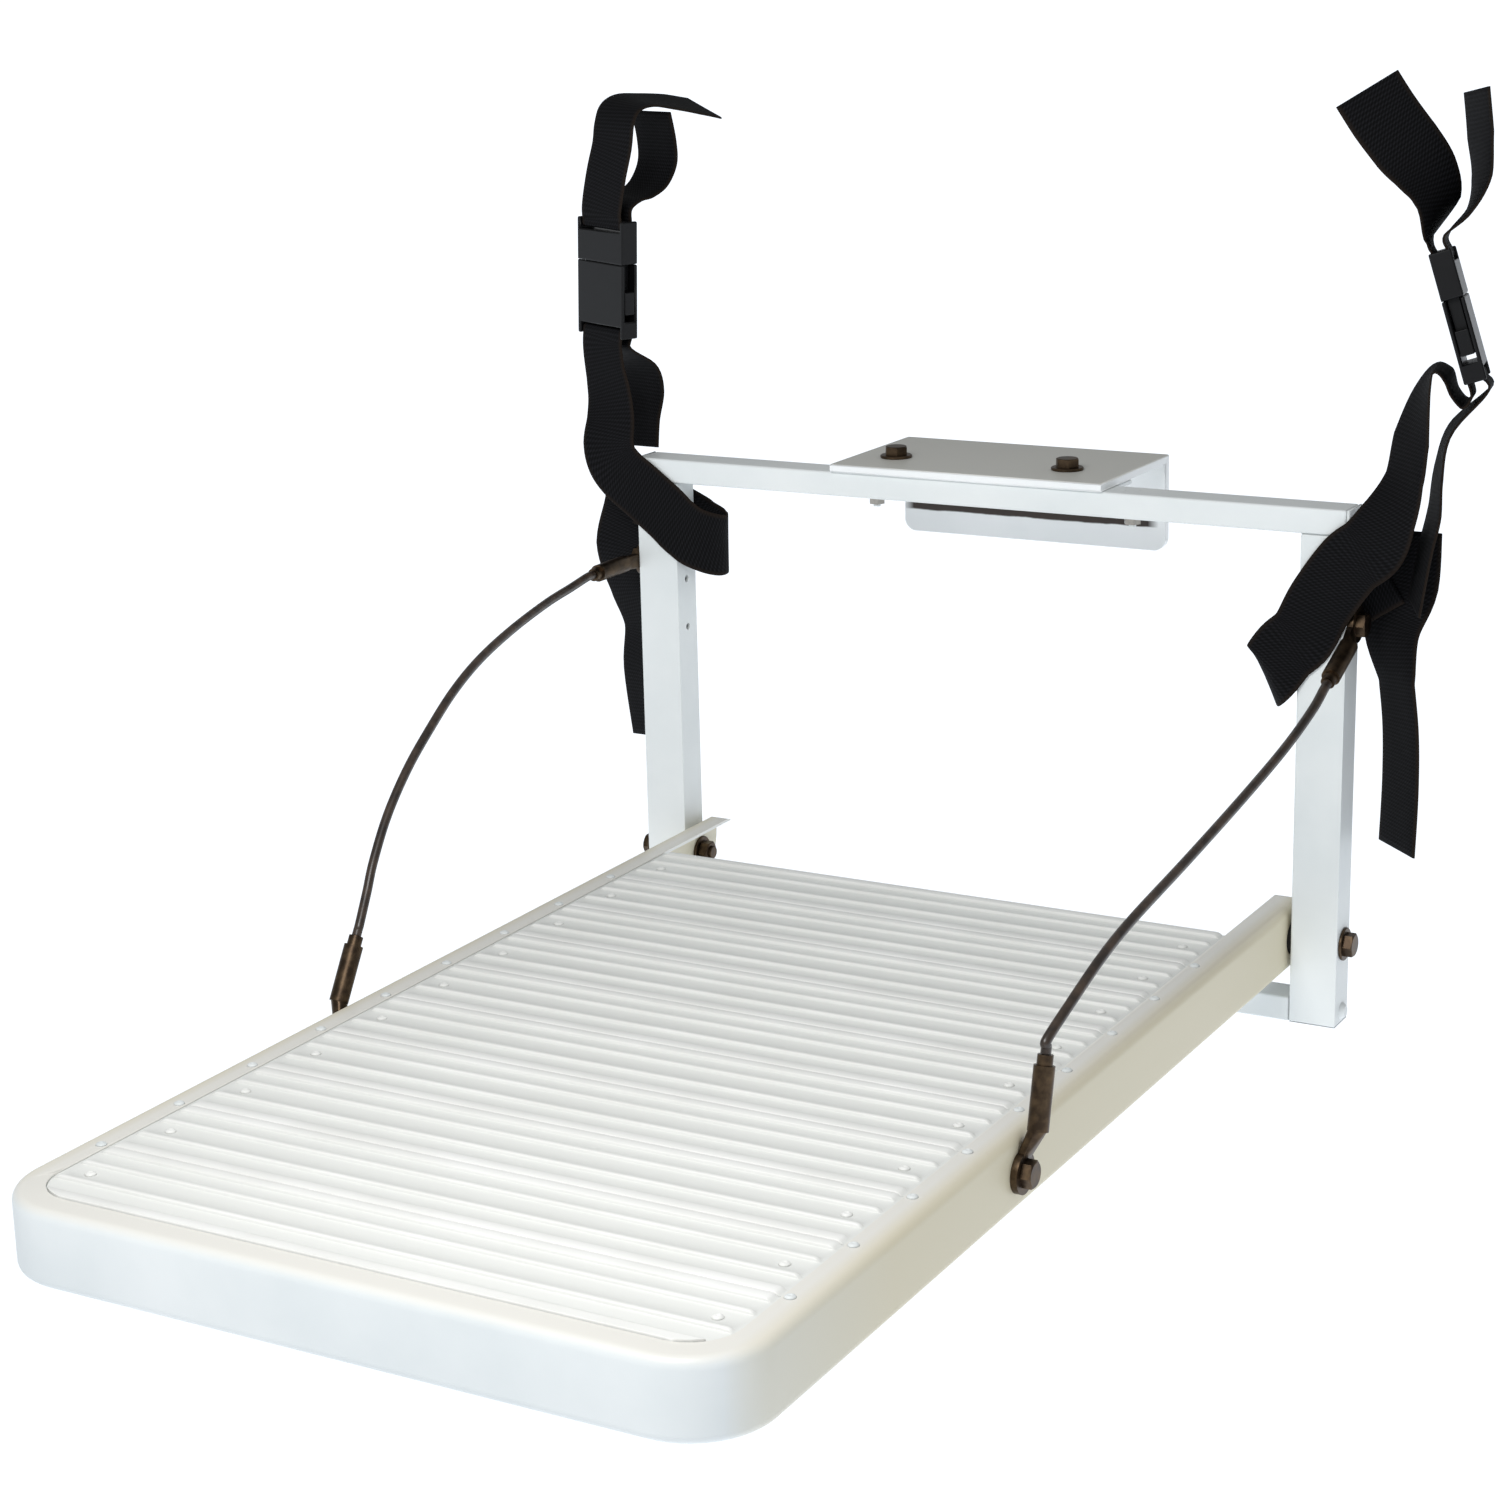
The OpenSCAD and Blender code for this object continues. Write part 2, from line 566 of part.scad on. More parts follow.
// A cable starts and ends this far off the tips of its terminals, and runs straight at first
tip_gap = 0.3;
lead_l = 8;
low_x = rail_out + eye_t / 2 + low_jog;
top_x = post_out + eye_t / 2 + top_jog;
function low_way(i) = [0, sin(low_tilt[i]), cos(low_tilt[i])];
function top_way(i) = [0, -sin(top_tilt[i]), cos(top_tilt[i])];
function low_tip(s, i) = [s * low_x, anchor_y, axis_z] + (term_l + tip_gap) * low_way(i);
function top_tip(s, i) = [s * top_x, mid_y, anchor_z] + (term_l + tip_gap) * top_way(i);
// A cable's line: shares of the way from tip to tip, each with its shift off the straight line
function hung(s, i, shifts) = let (a = low_tip(s, i), b = top_tip(s, i))
    concat([a, a + lead_l / 2 * low_way(i), a + lead_l * low_way(i)], [for (q = shifts) a + (b - a) * q[0] + [q[1], q[2], q[3]]],
        [b + lead_l * top_way(i), b + lead_l / 2 * top_way(i), b]);
cable_left_points = hung(-1, 0, [[0.07, -1, -6, 12], [0.12, -2, -11, 20], [0.2, -3, -16, 31], [0.29, -2, -20, 40],
    [0.38, -1, -21, 45], [0.48, -1, -22, 46], [0.58, -1, -20, 43], [0.7, -1, -16, 34], [0.83, -1, -10, 21], [0.92, -1, -5, 10]]);
cable_right_points = hung(1, 1, [[0.08, 1, -4, 11], [0.18, 1, -4, 14], [0.28, 1, -3, 13],
    [0.46, 1, -1, 6], [0.65, 2, 1, 1], [0.82, 1, 2, -4], [0.93, 1, 1, -3]]);
module cable_left() { cable(cable_left_points); }
module cable_right() { cable(cable_right_points); }

// Side-release buckles, drawn with the mouth of the socket at 0
module in_place(b) { translate(b[0]) rotate([0, b[1], 0]) rotate([0, 0, b[2]]) children(); }
module bar_end(z0, z1, bar_z) {
    for (s = [-1, 1]) translate([s > 0 ? cheek_in : -buckle_x, -buckle_t / 2, z0]) cube([buckle_x - cheek_in, buckle_t, z1 - z0]);
    translate([-cheek_in - 1, -bar_r, bar_z]) cube([2 * cheek_in + 2, 2 * bar_r, bar_h]);
}
module socket() {
    color(black) {
        for (y = [-buckle_t / 2, chamber_y]) translate([-buckle_x, y, -chamber_l - 1]) cube([2 * buckle_x, buckle_wall, chamber_l + 1]);
        translate([-buckle_x, -buckle_t / 2, -chamber_l - 4]) cube([2 * buckle_x, buckle_t, 4]);
        bar_end(socket_low, -chamber_l - 3, socket_low);
    }
}
module plug() {
    color(black) difference() {
        union() {
            translate([-buckle_x, -buckle_t / 2, face_play]) cube([2 * buckle_x, buckle_t, plug_l - face_play]);
            bar_end(plug_l - 1, plug_top, plug_top - bar_h);
            translate([-5, -chamber_y + 1.5, 6 - chamber_l]) cube([10, 2 * chamber_y - 3, chamber_l]);
        }
        for (s = [-1, 1]) translate([s * knuckle_x, 0, knuckle_z]) {
            rotate([90, 0, 0]) cylinder(h = 2 * chamber_y + 0.2, r = knuckle_r + run_play, center = true);
            translate([-3, -chamber_y - 0.1, -knuckle_z - 1]) cube([6, 2 * chamber_y + 0.2, knuckle_z + 1]);
        }
    }
}
module prong() {
    color("#222226") translate([knuckle_x, 0, knuckle_z]) {
        rotate([90, 0, 0]) cylinder(h = 2 * chamber_y - 0.6, r = knuckle_r, center = true);
        translate([-2, 0.3 - chamber_y, 8 - chamber_l - knuckle_z]) cube([4, 2 * chamber_y - 0.6, chamber_l + knuckle_z - 9]);
        translate([-2, 0.3 - chamber_y, 5 - chamber_l - knuckle_z]) cube([buckle_x - knuckle_x + 2, 2 * chamber_y - 0.6, 16]);
    }
}
module buckle_socket_left() { in_place(left_buckle) socket(); }
module buckle_socket_right() { in_place(right_buckle) socket(); }
module buckle_plug_left() { in_place(left_buckle) plug(); }
module buckle_plug_right() { in_place(right_buckle) plug(); }
module prong_left_a() { in_place(left_buckle) prong(); }
module prong_left_b() { in_place(left_buckle) mirror([1, 0, 0]) prong(); }
module prong_right_a() { in_place(right_buckle) prong(); }
module prong_right_b() { in_place(right_buckle) mirror([1, 0, 0]) prong(); }

// Webbing round a buckle's bar: z is the bar's free edge, s points away from the buckle's middle
bar_side = bar_r + web_t / 2 + 0.8;
bar_way = [[bar_side + 0.4, 8], [bar_side, -1], [bar_side - 0.2, -bar_h - 0.4], [bar_r - 0.6, -bar_h - slot_h / 2 - 0.1]];
function round_bar(b, edge, s) = concat([for (q = bar_way) in_buckle(b, [0, q[0], edge + s * q[1]])],
    [for (i = [3:-1:0]) in_buckle(b, [0, -bar_way[i][0], edge + s * bar_way[i][1]])]);
function back_round_bar(b, edge, s) = let (p = round_bar(b, edge, s)) [for (i = [7:-1:0]) p[i]];
function bar_dirs(b) = [for (i = [1:8]) along_buckle(b, [1, 0, 0])];

// Webbing lies this far off a post's front and rear faces
lap = 0.6;
front_y = -tube_d - lap - web_t / 2;
back_y = lap + web_t / 2;
// Places by the top of a post: from its outer face (o) or its inner face (i), outward positive
function lo(x, y, z) = [-post_out - x, y, tube_top + z];
function li(x, y, z) = [-post_in - x, y, tube_top + z];
function ro(x, y, z) = [post_out + x, y, tube_top + z];
function ri(x, y, z) = [post_in + x, y, tube_top + z];

// Left strap: up through the socket's bar, down in front, across the post's front,
// round its inner side in a slack loop and flat behind the post
strap_left_points = concat([lo(16, 5, 2), lo(16, 8, 22), lo(14, 12, 43), lo(16, 8, 61)], round_bar(left_buckle, socket_low, -1),
    [lo(26, -20, 58), lo(21.5, -23, 41), lo(19.5, -26, 25), lo(20.5, front_y - 1, 9), lo(17.5, front_y - 1, -3.5),
    lo(9, front_y - 0.8, -13.5), lo(-5, front_y, -24), li(8, front_y, -38), li(-3, front_y - 0.4, -47), li(-14, front_y + 0.4, -54),
    li(-24, -20, -59), li(-29, -10, -62), li(-27, 0, -62), li(-17, 5, -60), li(-3, 4.6, -54), li(8, back_y + 0.9, -47),
    lo(-6, back_y + 0.3, -39), lo(15, back_y + 0.3, -33)]);
strap_left_dirs = concat([[0.95, -0.3, 0], [0.95, -0.3, 0], [0.95, -0.3, 0], [0.94, -0.34, 0]], bar_dirs(left_buckle),
    [[0.94, -0.34, 0], [0.95, -0.25, 0], [1, -0.15, 0], [1, -0.05, 0.1], [0.9, 0, 0.4], [0.7, 0, 0.7], [0.6, 0, 0.8],
    [0.5, 0, 0.85], [0.4, 0, 0.9], [0.3, 0, 0.95], [0.2, 0, 1], [0.1, 0, 1], [0, 0, 1], [0, 0, 1], [0.1, 0, 1], [0.2, 0, 1],
    [0.2, 0, 1], [0.2, 0, 1]]);
// Right strap: the same way round its post, lower down, and twisted at its buckle
strap_right_points = concat([ro(42, -20, -60), ro(45, -20, -40), ro(48, -19, -20), ro(51, -15, 0), ro(52, -12, 25), ro(60, -15, 54)], round_bar(right_buckle, socket_low, -1),
    [ro(68, -15, 70.5), ro(61.5, -16, 77), ro(57, -17, 88), ro(49, -18.5, 91), ro(42, -20, 74), ro(37, -22, 47), ro(34, -24, 22), ro(27, -27.5, 0), ro(16, front_y - 1.4, -21),
    ro(1, front_y - 0.3, -34), ro(-17, front_y, -60), ri(4, front_y, -82), ri(-8, front_y - 0.4, -94), ri(-18, front_y + 1, -108),
    ri(-24, -17, -114), ri(-25, -6, -114), ri(-19, 3, -107), ri(-6, 4.6, -92), ri(8, back_y + 0.9, -75), ro(-7, back_y + 0.3, -60),
    ro(17, back_y + 0.3, -44)]);
strap_right_dirs = concat([[0.45, -0.9, 0], [0.45, -0.9, 0], [0.45, -0.9, 0], [0.45, -0.9, 0], [0.4, -0.92, 0], [0.3, -0.95, 0]], bar_dirs(right_buckle),
    [[0.22, -0.97, 0], [0.2, -0.98, 0], [0.15, -0.99, 0], [0.25, -0.97, 0], [0.5, -0.85, 0], [0.72, -0.69, 0], [0.75, -0.66, 0], [0.8, -0.4, -0.2], [0.75, 0, -0.6], [0.7, 0, -0.7],
    [0.65, 0, -0.75], [0.65, 0, -0.75], [0.6, 0, -0.8], [0.55, 0, -0.83], [0.45, 0, -0.9], [0.3, 0, -0.95], [0.3, 0, -0.95],
    [0.5, 0, -0.85], [0.6, 0, -0.8], [0.6, 0, -0.8], [0.6, 0, -0.8]]);
module strap_left() { webbing(strap_left_points, strap_left_dirs); }
module strap_right() { webbing(strap_right_points, strap_right_dirs); }
// The straps' loose tails hang from behind that last lap
tail_y = back_y + web_t + 1.2;
module strap_tail_left() {
    webbing([lo(18, tail_y, -14), lo(24, tail_y, -44), lo(34, 7, -75), lo(32, 11, -105), lo(23, 13, -134), lo(25, 13, -168),
        lo(19, 13, -216)],
        [[1, 0, 0], [1, 0, 0], [1, 0, 0], [0.9, -0.3, 0], [0.9, -0.4, 0], [0.9, -0.4, 0], [0.9, -0.4, 0]]);
}
module strap_tail_right() {
    webbing([ro(29, tail_y, -16), ro(28, tail_y, -50), ro(20, tail_y, -80), ro(25, 3, -115), ro(29, 2, -147), ro(30, 2, -185),
        ro(29, 2, -226)],
        [[1, 0, 0], [1, 0, 0], [0.95, -0.3, 0], [0.75, -0.66, 0], [0.75, -0.66, 0], [0.75, -0.66, 0], [0.75, -0.66, 0]]);
}
// Upper webbing, on the plugs: two strands that leave the bar, with cut ends
strap_top_left_points = concat([lo(-13, 62, 237), lo(-6, 43, 241), lo(1, 23, 244), lo(8, 3, 246), lo(12.5, -9, 242), lo(14.5, -15, 232),
    lo(16, -17, 216), lo(21, -18, 196)], back_round_bar(left_buckle, plug_top, 1),
    [lo(19.5, 0, 178), lo(16, 11, 180), lo(11.5, 23, 187), lo(8.5, 31, 201), lo(8.5, 31, 217), lo(10, 27, 237)]);
strap_top_left_dirs = concat([[0.9, -0.32, -0.3], [0.9, -0.32, -0.28], [0.92, -0.33, -0.22], [0.93, -0.34, -0.15], [0.94, -0.34, -0.08]],
    [for (i = [1:3]) [0.94, -0.34, 0]], bar_dirs(left_buckle), [for (i = [1:6]) [0.94, -0.34, 0]]);
strap_top_right_points = concat([ro(-1, -13, 259), ro(11, -13, 242), ro(25, -13, 225), ro(38, -14, 210), ro(46, -15, 193)],
    back_round_bar(right_buckle, plug_top, 1), [ro(64, -7, 187), ro(69, -2, 206), ro(66, 2, 231), ro(62, 4, 258)]);
strap_top_right_dirs = concat([[0.33, 0.45, 0.83], [0.33, 0.45, 0.83], [0.35, 0.5, 0.8], [0.4, 0.7, 0.55], [0.35, 0.9, 0.2]],
    [for (d = bar_dirs(right_buckle)) -d], [[-0.3, 0.95, 0], [-0.5, 0.85, 0], [-0.6, 0.8, 0], [-0.6, 0.8, 0]]);
module strap_top_left() { webbing(strap_top_left_points, strap_top_left_dirs); }
module strap_top_right() { webbing(strap_top_right_points, strap_top_right_dirs); }

post_left();
post_right();
top_tube();
bottom_tube();
tube_end_plates();
hook_plate();
hook_ledge();
hook_bolts();
hook_washers();
hook_nuts();
tube_screws();
tube_screw_nuts();
foot_screws();
pivot_bolt_left();
pivot_bolt_right();
pivot_washers();
pivot_nuts();
cable_top_end_left();
cable_top_end_right();
cable_top_bolts();
cable_top_nuts();
strap_left();
strap_right();
strap_tail_left();
strap_tail_right();
buckle_socket_left();
buckle_socket_right();
platform_rim();
slat_1();
slat_2();
slat_3();
slat_4();
slat_5();
slat_6();
slat_7();
slat_8();
slat_9();
slat_10();
tie_strip_left();
tie_strip_right();
slat_rivets_left();
slat_rivets_right();
rim_rivets_left();
rim_rivets_right();
pivot_bush_left();
pivot_bush_right();
anchor_bolts();
anchor_nuts();
cable_low_end_left();
cable_low_end_right();
cable_left();
cable_right();
buckle_plug_left();
buckle_plug_right();
strap_top_left();
strap_top_right();
prong_left_a();
prong_left_b();
prong_right_a();
prong_right_b();
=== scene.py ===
import bpy
import bmesh
import math
from mathutils import Matrix, Vector


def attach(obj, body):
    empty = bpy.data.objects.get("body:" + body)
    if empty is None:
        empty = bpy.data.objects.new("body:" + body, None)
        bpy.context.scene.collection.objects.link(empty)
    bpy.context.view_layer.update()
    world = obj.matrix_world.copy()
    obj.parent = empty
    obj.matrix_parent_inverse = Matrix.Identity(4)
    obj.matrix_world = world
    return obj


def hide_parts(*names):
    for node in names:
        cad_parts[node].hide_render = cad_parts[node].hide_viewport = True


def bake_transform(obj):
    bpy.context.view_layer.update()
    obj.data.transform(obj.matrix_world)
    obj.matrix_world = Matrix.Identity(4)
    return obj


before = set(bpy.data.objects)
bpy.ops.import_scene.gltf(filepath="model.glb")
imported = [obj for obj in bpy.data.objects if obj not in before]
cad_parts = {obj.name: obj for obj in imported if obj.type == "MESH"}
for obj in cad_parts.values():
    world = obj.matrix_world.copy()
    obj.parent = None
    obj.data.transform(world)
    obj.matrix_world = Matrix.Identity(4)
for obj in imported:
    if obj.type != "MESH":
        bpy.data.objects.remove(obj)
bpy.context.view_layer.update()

# Studio: the stand hangs over a wide, bright white floor, as catalogue pictures are lit, with
# dim light from all round and one soft lamp above the front of the deck.
lens, sensor, far_limit = 73.8, 36.0, 400.0
lamp_at, lamp_aim, lamp_size, lamp_power = Vector((0.1, -1.08, 0.9)), Vector((0, -0.6, 0.05)), 0.4, 7.3
floor_half, floor_z = 150.0, -3.0


def link(name, data):
    """An object in the scene for a mesh, lamp or camera."""
    made = bpy.data.objects.new(name, data)
    bpy.context.scene.collection.objects.link(made)
    return made


def add(tree, kind, inputs=None, **settings):
    """Adds a node: inputs that are sockets are linked, other inputs are set."""
    made = tree.nodes.new(kind)
    for key, value in settings.items():
        setattr(made, key, value)
    for key, value in (inputs or {}).items():
        if isinstance(value, bpy.types.NodeSocket):
            tree.links.new(value, made.inputs[key])
        else:
            made.inputs[key].default_value = value
    return made


def linear(code):
    """An sRGB hex colour as linear red, green, blue and alpha."""
    parts = [int(code[i:i + 2], 16) / 255 for i in (1, 3, 5)]
    return [c / 12.92 if c <= 0.04045 else ((c + 0.055) / 1.055) ** 2.4 for c in parts] + [1.0]


def new_material(name, **surface):
    """A named material with its node tree and its main shader."""
    made = bpy.data.materials.new(name)
    made.use_nodes = True
    shader = made.node_tree.nodes["Principled BSDF"]
    for key, value in surface.items():
        shader.inputs[key.replace("_", " ").title().replace("Ior", "IOR")].default_value = value
    return made, made.node_tree, shader


camera = link("camera", bpy.data.cameras.new("camera"))
camera.data.lens, camera.data.sensor_width, camera.data.clip_end = lens, sensor, far_limit
right, back = Vector((0.87240, 0.48825, -0.02297)), Vector((0.4762, -0.8386, 0.2646))
axes = Matrix((right, back.cross(right), back)).transposed().to_4x4()
camera.matrix_world = Matrix.Translation((0.8702, -1.8653, 0.7123)) @ axes
bpy.context.scene.camera = camera
bpy.context.scene.view_settings.view_transform = "Standard"

world = bpy.data.worlds.new("white_sweep")
world.use_nodes = True
tree = world.node_tree
dim = tree.nodes["Background"]
dim.inputs["Color"].default_value, dim.inputs["Strength"].default_value = linear("#F7FAFC"), 0.36
white = add(tree, "ShaderNodeBackground", {"Color": linear("#FFFFFF"), "Strength": 1.0})
ray = add(tree, "ShaderNodeLightPath")
seen = add(tree, "ShaderNodeMixShader", {0: ray.outputs["Is Camera Ray"], 1: dim.outputs["Background"],
                                         2: white.outputs["Background"]})
tree.links.new(seen.outputs["Shader"], tree.nodes["World Output"].inputs["Surface"])
bpy.context.scene.world = world

lamp = link("key_lamp", bpy.data.lights.new("key_lamp", "AREA"))
lamp.data.size, lamp.data.energy = lamp_size, lamp_power
lamp_turn = (lamp_aim - lamp_at).to_track_quat("-Z", "Y").to_matrix().to_4x4()
lamp.matrix_world = Matrix.Translation(lamp_at) @ lamp_turn

# Backlit white film: it glows evenly, so the floor stays white out to its far edge.
paper = new_material("backlit_white_film", base_color=linear("#F4F5F5"), roughness=0.9,
                     emission_color=linear("#F1F7FF"), emission_strength=0.92)[0]
floor_mesh = bpy.data.meshes.new("floor")
floor_mesh.from_pydata([(x * floor_half, y * floor_half, floor_z)
                        for x, y in ((-1, -1), (1, -1), (1, 1), (-1, 1))], [], [(0, 1, 2, 3)])
floor_mesh.materials.append(paper)
link("floor", floor_mesh)

# Support cables: steel wire rope in a smooth dark vinyl coat, slack between a swaged eye on
# the platform rail and one on the post, so each bows in its own way.
mm = 0.001
tube_top, post_out, post_in, mid_y = 337.5, 262.5, 230.5, -12.75
rail_out, anchor_y, axis_z, anchor_z = 227.9, -449.75, 46.5, 262.0
term_l, cable_d = 66.0, 6.0
low_x, top_x, tip_gap, lead_l = rail_out + 8.5, post_out + 5.1, 0.3, 8.0


def noise(tree, vector, size, detail):
    """Noise with features about that many mm across."""
    made = add(tree, "ShaderNodeTexNoise", {"Vector": vector, "Scale": 1 / (size * mm), "Detail": detail})
    return made.outputs["Fac"]


def tones(tree, share, low, high, start=0.0, end=1.0):
    """A ramp from one hex colour to another, between two places from 0 to 1."""
    made = add(tree, "ShaderNodeValToRGB", {"Fac": share})
    for i, code, place in ((0, low, start), (1, high, end)):
        made.color_ramp.elements[i].color = linear(code)
        made.color_ramp.elements[i].position = place
    return made.outputs["Color"]


def grain_on(tree, shader, height, strength, depth):
    """Bump on a shader, that many mm deep."""
    made = add(tree, "ShaderNodeBump", {"Height": height, "Strength": strength, "Distance": depth * mm})
    tree.links.new(made.outputs["Normal"], shader.inputs["Normal"])


vinyl, tree, shader = new_material("dark_vinyl_coat", roughness=0.36, coat_weight=0.25, coat_roughness=0.3)
# Extruded vinyl: dark brown, smooth, with faint handling marks about 9 mm long.
marks = noise(tree, add(tree, "ShaderNodeTexCoord").outputs["Object"], 9, 3.0)
tree.links.new(tones(tree, marks, "#241B15", "#43352A", 0.35, 0.7), shader.inputs["Base Color"])
grain_on(tree, shader, marks, 0.12, 0.4)


def smooth_line(points, steps):
    """A smooth line through the points, some steps from each to the next."""
    line, last = [], len(points) - 1
    for i in range(last):
        a, b, c, d = (points[max(i - 1, 0)], points[i], points[i + 1], points[min(i + 2, last)])
        for j in range(steps):
            t = j / steps
            line.append(0.5 * (2 * b + (c - a) * t + (2 * a - 5 * b + 4 * c - d) * t * t
                               + (3 * b - a - 3 * c + d) * t ** 3))
    return line + [points[-1]]


def heading(line, i):
    """The direction of a line at one of its points."""
    return (line[min(i + 1, len(line) - 1)] - line[max(i - 1, 0)]).normalized()


def tube(name, line, radius, sides, material):
    """A round tube along a line, with closed ends and a UV map in metres."""
    bm = bmesh.new()
    uv = bm.loops.layers.uv.new("length")
    rings, run, ahead = [], [0.0], Vector((1, 0, 0))
    for i, p in enumerate(line):
        t = heading(line, i)
        ahead = (ahead - ahead.dot(t) * t).normalized()
        side = t.cross(ahead)
        rings.append([bm.verts.new(p + radius * (math.cos(a) * ahead + math.sin(a) * side))
                      for a in (2 * math.pi * k / sides for k in range(sides))])
        if i:
            run.append(run[-1] + (p - line[i - 1]).length)
    for i in range(len(rings) - 1):
        for k in range(sides):
            n = (k + 1) % sides
            face = bm.faces.new((rings[i][k], rings[i][n], rings[i + 1][n], rings[i + 1][k]))
            for loop, (u, v) in zip(face.loops, ((k, i), (k + 1, i), (k + 1, i + 1), (k, i + 1))):
                loop[uv].uv = (u / sides * 2 * math.pi * radius, run[v])
            face.smooth = True
    bm.faces.new(rings[0][::-1])
    bm.faces.new(rings[-1])
    bmesh.ops.recalc_face_normals(bm, faces=bm.faces[:])
    mesh = bpy.data.meshes.new(name)
    bm.to_mesh(mesh)
    bm.free()
    mesh.materials.append(material)
    return link(name, mesh), run[-1]


# Each row of shifts is a share of the straight way between the terminals' tips, and how many mm
# the cable lies off it there.
for side, low_tilt, top_tilt, shifts in (
    ("left", 31.0, 90.0, ((0.07, -1, -6, 12), (0.12, -2, -11, 20), (0.2, -3, -16, 31), (0.29, -2, -20, 40),
                          (0.38, -1, -21, 45), (0.48, -1, -22, 46), (0.58, -1, -20, 43), (0.7, -1, -16, 34),
                          (0.83, -1, -10, 21), (0.92, -1, -5, 10))),
    ("right", 14.0, 111.5, ((0.08, 1, -4, 11), (0.18, 1, -4, 14), (0.28, 1, -3, 13), (0.46, 1, -1, 6),
                            (0.65, 2, 1, 1), (0.82, 1, 2, -4), (0.93, 1, 1, -3))),
):
    sign = -1 if side == "left" else 1
    low, top = math.radians(low_tilt), math.radians(top_tilt)
    low_way, top_way = Vector((0, math.sin(low), math.cos(low))), Vector((0, -math.sin(top), math.cos(top)))
    start = Vector((sign * low_x, anchor_y, axis_z)) + (term_l + tip_gap) * low_way
    end = Vector((sign * top_x, mid_y, anchor_z)) + (term_l + tip_gap) * top_way
    route = [start, start + lead_l / 2 * low_way, start + lead_l * low_way]
    route += [start + (end - start) * q[0] + Vector(q[1:]) for q in shifts]
    route += [end + lead_l * top_way, end + lead_l / 2 * top_way, end]
    line = [p * mm for p in smooth_line(route, 8)]
    cable, length = tube("cable_coat_" + side, line, cable_d / 2 * mm, 16, vinyl)
    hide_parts("cable_" + side)
    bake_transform(cable)

# Upright frame: rectangular aluminium tube, welded square and powder coated white, with end
# plates on the top tube and small gear holes in the posts.
tube_ease, plate_ease = 1.6, 0.8
coat_low, coat_high = "#DFE4E4", "#ECEFEE"


def powder_coat(name, low, high):
    """Baked polyester powder: satin, with a fine orange peel about 1.6 mm across, drawn that
    coarse so that it shows, and a faint grey film from handling."""
    made, tree, shader = new_material(name, roughness=0.42, ior=1.5)
    own = add(tree, "ShaderNodeTexCoord").outputs["Object"]
    colour = tones(tree, noise(tree, own, 90, 4.0), low, high, 0.3, 0.7)
    tree.links.new(colour, shader.inputs["Base Color"])
    grain_on(tree, shader, noise(tree, own, 1.6, 2.0), 0.08, 0.2)
    return made, tree, shader, own, colour


def eased(node, body, radius, material, segments=3, longest=6.0):
    """A copy of a CAD node with its long sharp edges rounded, to stand for it."""
    bm = bmesh.new()
    bm.from_mesh(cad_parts[node].data)
    bmesh.ops.remove_doubles(bm, verts=bm.verts[:], dist=1e-6)
    bmesh.ops.dissolve_limit(bm, angle_limit=math.radians(0.4), verts=bm.verts[:], edges=bm.edges[:])
    weight = bm.edges.layers.float.new("bevel_weight_edge")
    for edge in bm.edges:
        if len(edge.link_faces) == 2:
            sharp = edge.calc_face_angle(0) > math.radians(32)
            edge.smooth = not sharp
            edge[weight] = 1.0 if sharp and edge.is_convex and edge.calc_length() > longest * mm else 0.0
    for face in bm.faces:
        face.smooth = True
    mesh = bpy.data.meshes.new(node + "_shape")
    bm.to_mesh(mesh)
    bm.free()
    mesh.materials.append(material)
    piece = link(node + "_shape", mesh)
    bevel = piece.modifiers.new("rounded_edges", "BEVEL")
    bevel.width, bevel.segments, bevel.limit_method = radius * mm, segments, "WEIGHT"
    bevel.use_clamp_overlap, bevel.harden_normals = False, True
    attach(piece, body)
    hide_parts(node)


powder = powder_coat("white_powder_coat", coat_low, coat_high)[0]
for node in ("post_left", "post_right", "top_tube", "bottom_tube"):
    eased(node, "frame", tube_ease, powder)
eased("tube_end_plates", "frame", plate_ease, powder)

# Hook plate: flat bar folded down into a lip behind the frame, bolted to an angle that is
# welded along the rear of the top tube; its white is drawn lighter than the frame's, as painted
# light on the lip, its top is greyed as painted shade, and a dark brown band runs along the lip's inner
# face, just under the tube.
hook_top, hook_ease, lip_y = 343.5, 1.2, 86.0
mark_x, mark_z, mark_h, mark_half = -8.0, 295.4, 5.8, 98.0


def calc(tree, operation, *values):
    """The result of one operation on one or more values."""
    return add(tree, "ShaderNodeMath", dict(enumerate(values)), operation=operation).outputs[0]


def fade(tree, value, low, high, start=0.0, end=1.0):
    """A share that goes from start to end as the value goes from low to high."""
    made = add(tree, "ShaderNodeMapRange", {"Value": value, 1: low, 2: high, 3: start, 4: end})
    return made.outputs["Result"]


def laid_over(tree, share, below, code):
    """A hex colour laid over another colour, by a share from 0 to 1."""
    made = add(tree, "ShaderNodeMix", {0: share, 6: below, 7: linear(code)}, data_type="RGBA")
    return made.outputs[2]


# A whiter copy of the frame's white coat, as painted light on the lip.
hook_coat_painted_light, tree, shader, own, colour = powder_coat("white_powder_coat_painted_light", "#F0F3F3", "#FAFBFB")
place = add(tree, "ShaderNodeSeparateXYZ", {"Vector": own})
# A dark brown band along the lip's inner face, just under the tube.
# The mark's edges wander by a millimetre each way, and it fades out at its ends.
uneven = calc(tree, "MULTIPLY_ADD", noise(tree, own, 16, 4.0), 2 * mm, place.outputs["Z"])
off_mark = calc(tree, "ABSOLUTE", calc(tree, "SUBTRACT", uneven, (mark_z + 1) * mm))
band = fade(tree, off_mark, (mark_h - 1) / 2 * mm, (mark_h + 1) / 2 * mm, 1.0, 0.0)
aside = calc(tree, "ABSOLUTE", calc(tree, "SUBTRACT", place.outputs["X"], mark_x * mm))
ends = fade(tree, aside, (mark_half - 8) * mm, mark_half * mm, 1.0, 0.0)
inner = fade(tree, place.outputs["Y"], (lip_y + 1) * mm, (lip_y + 2) * mm, 1.0, 0.0)
mark = calc(tree, "MULTIPLY", calc(tree, "MULTIPLY", band, ends), inner)
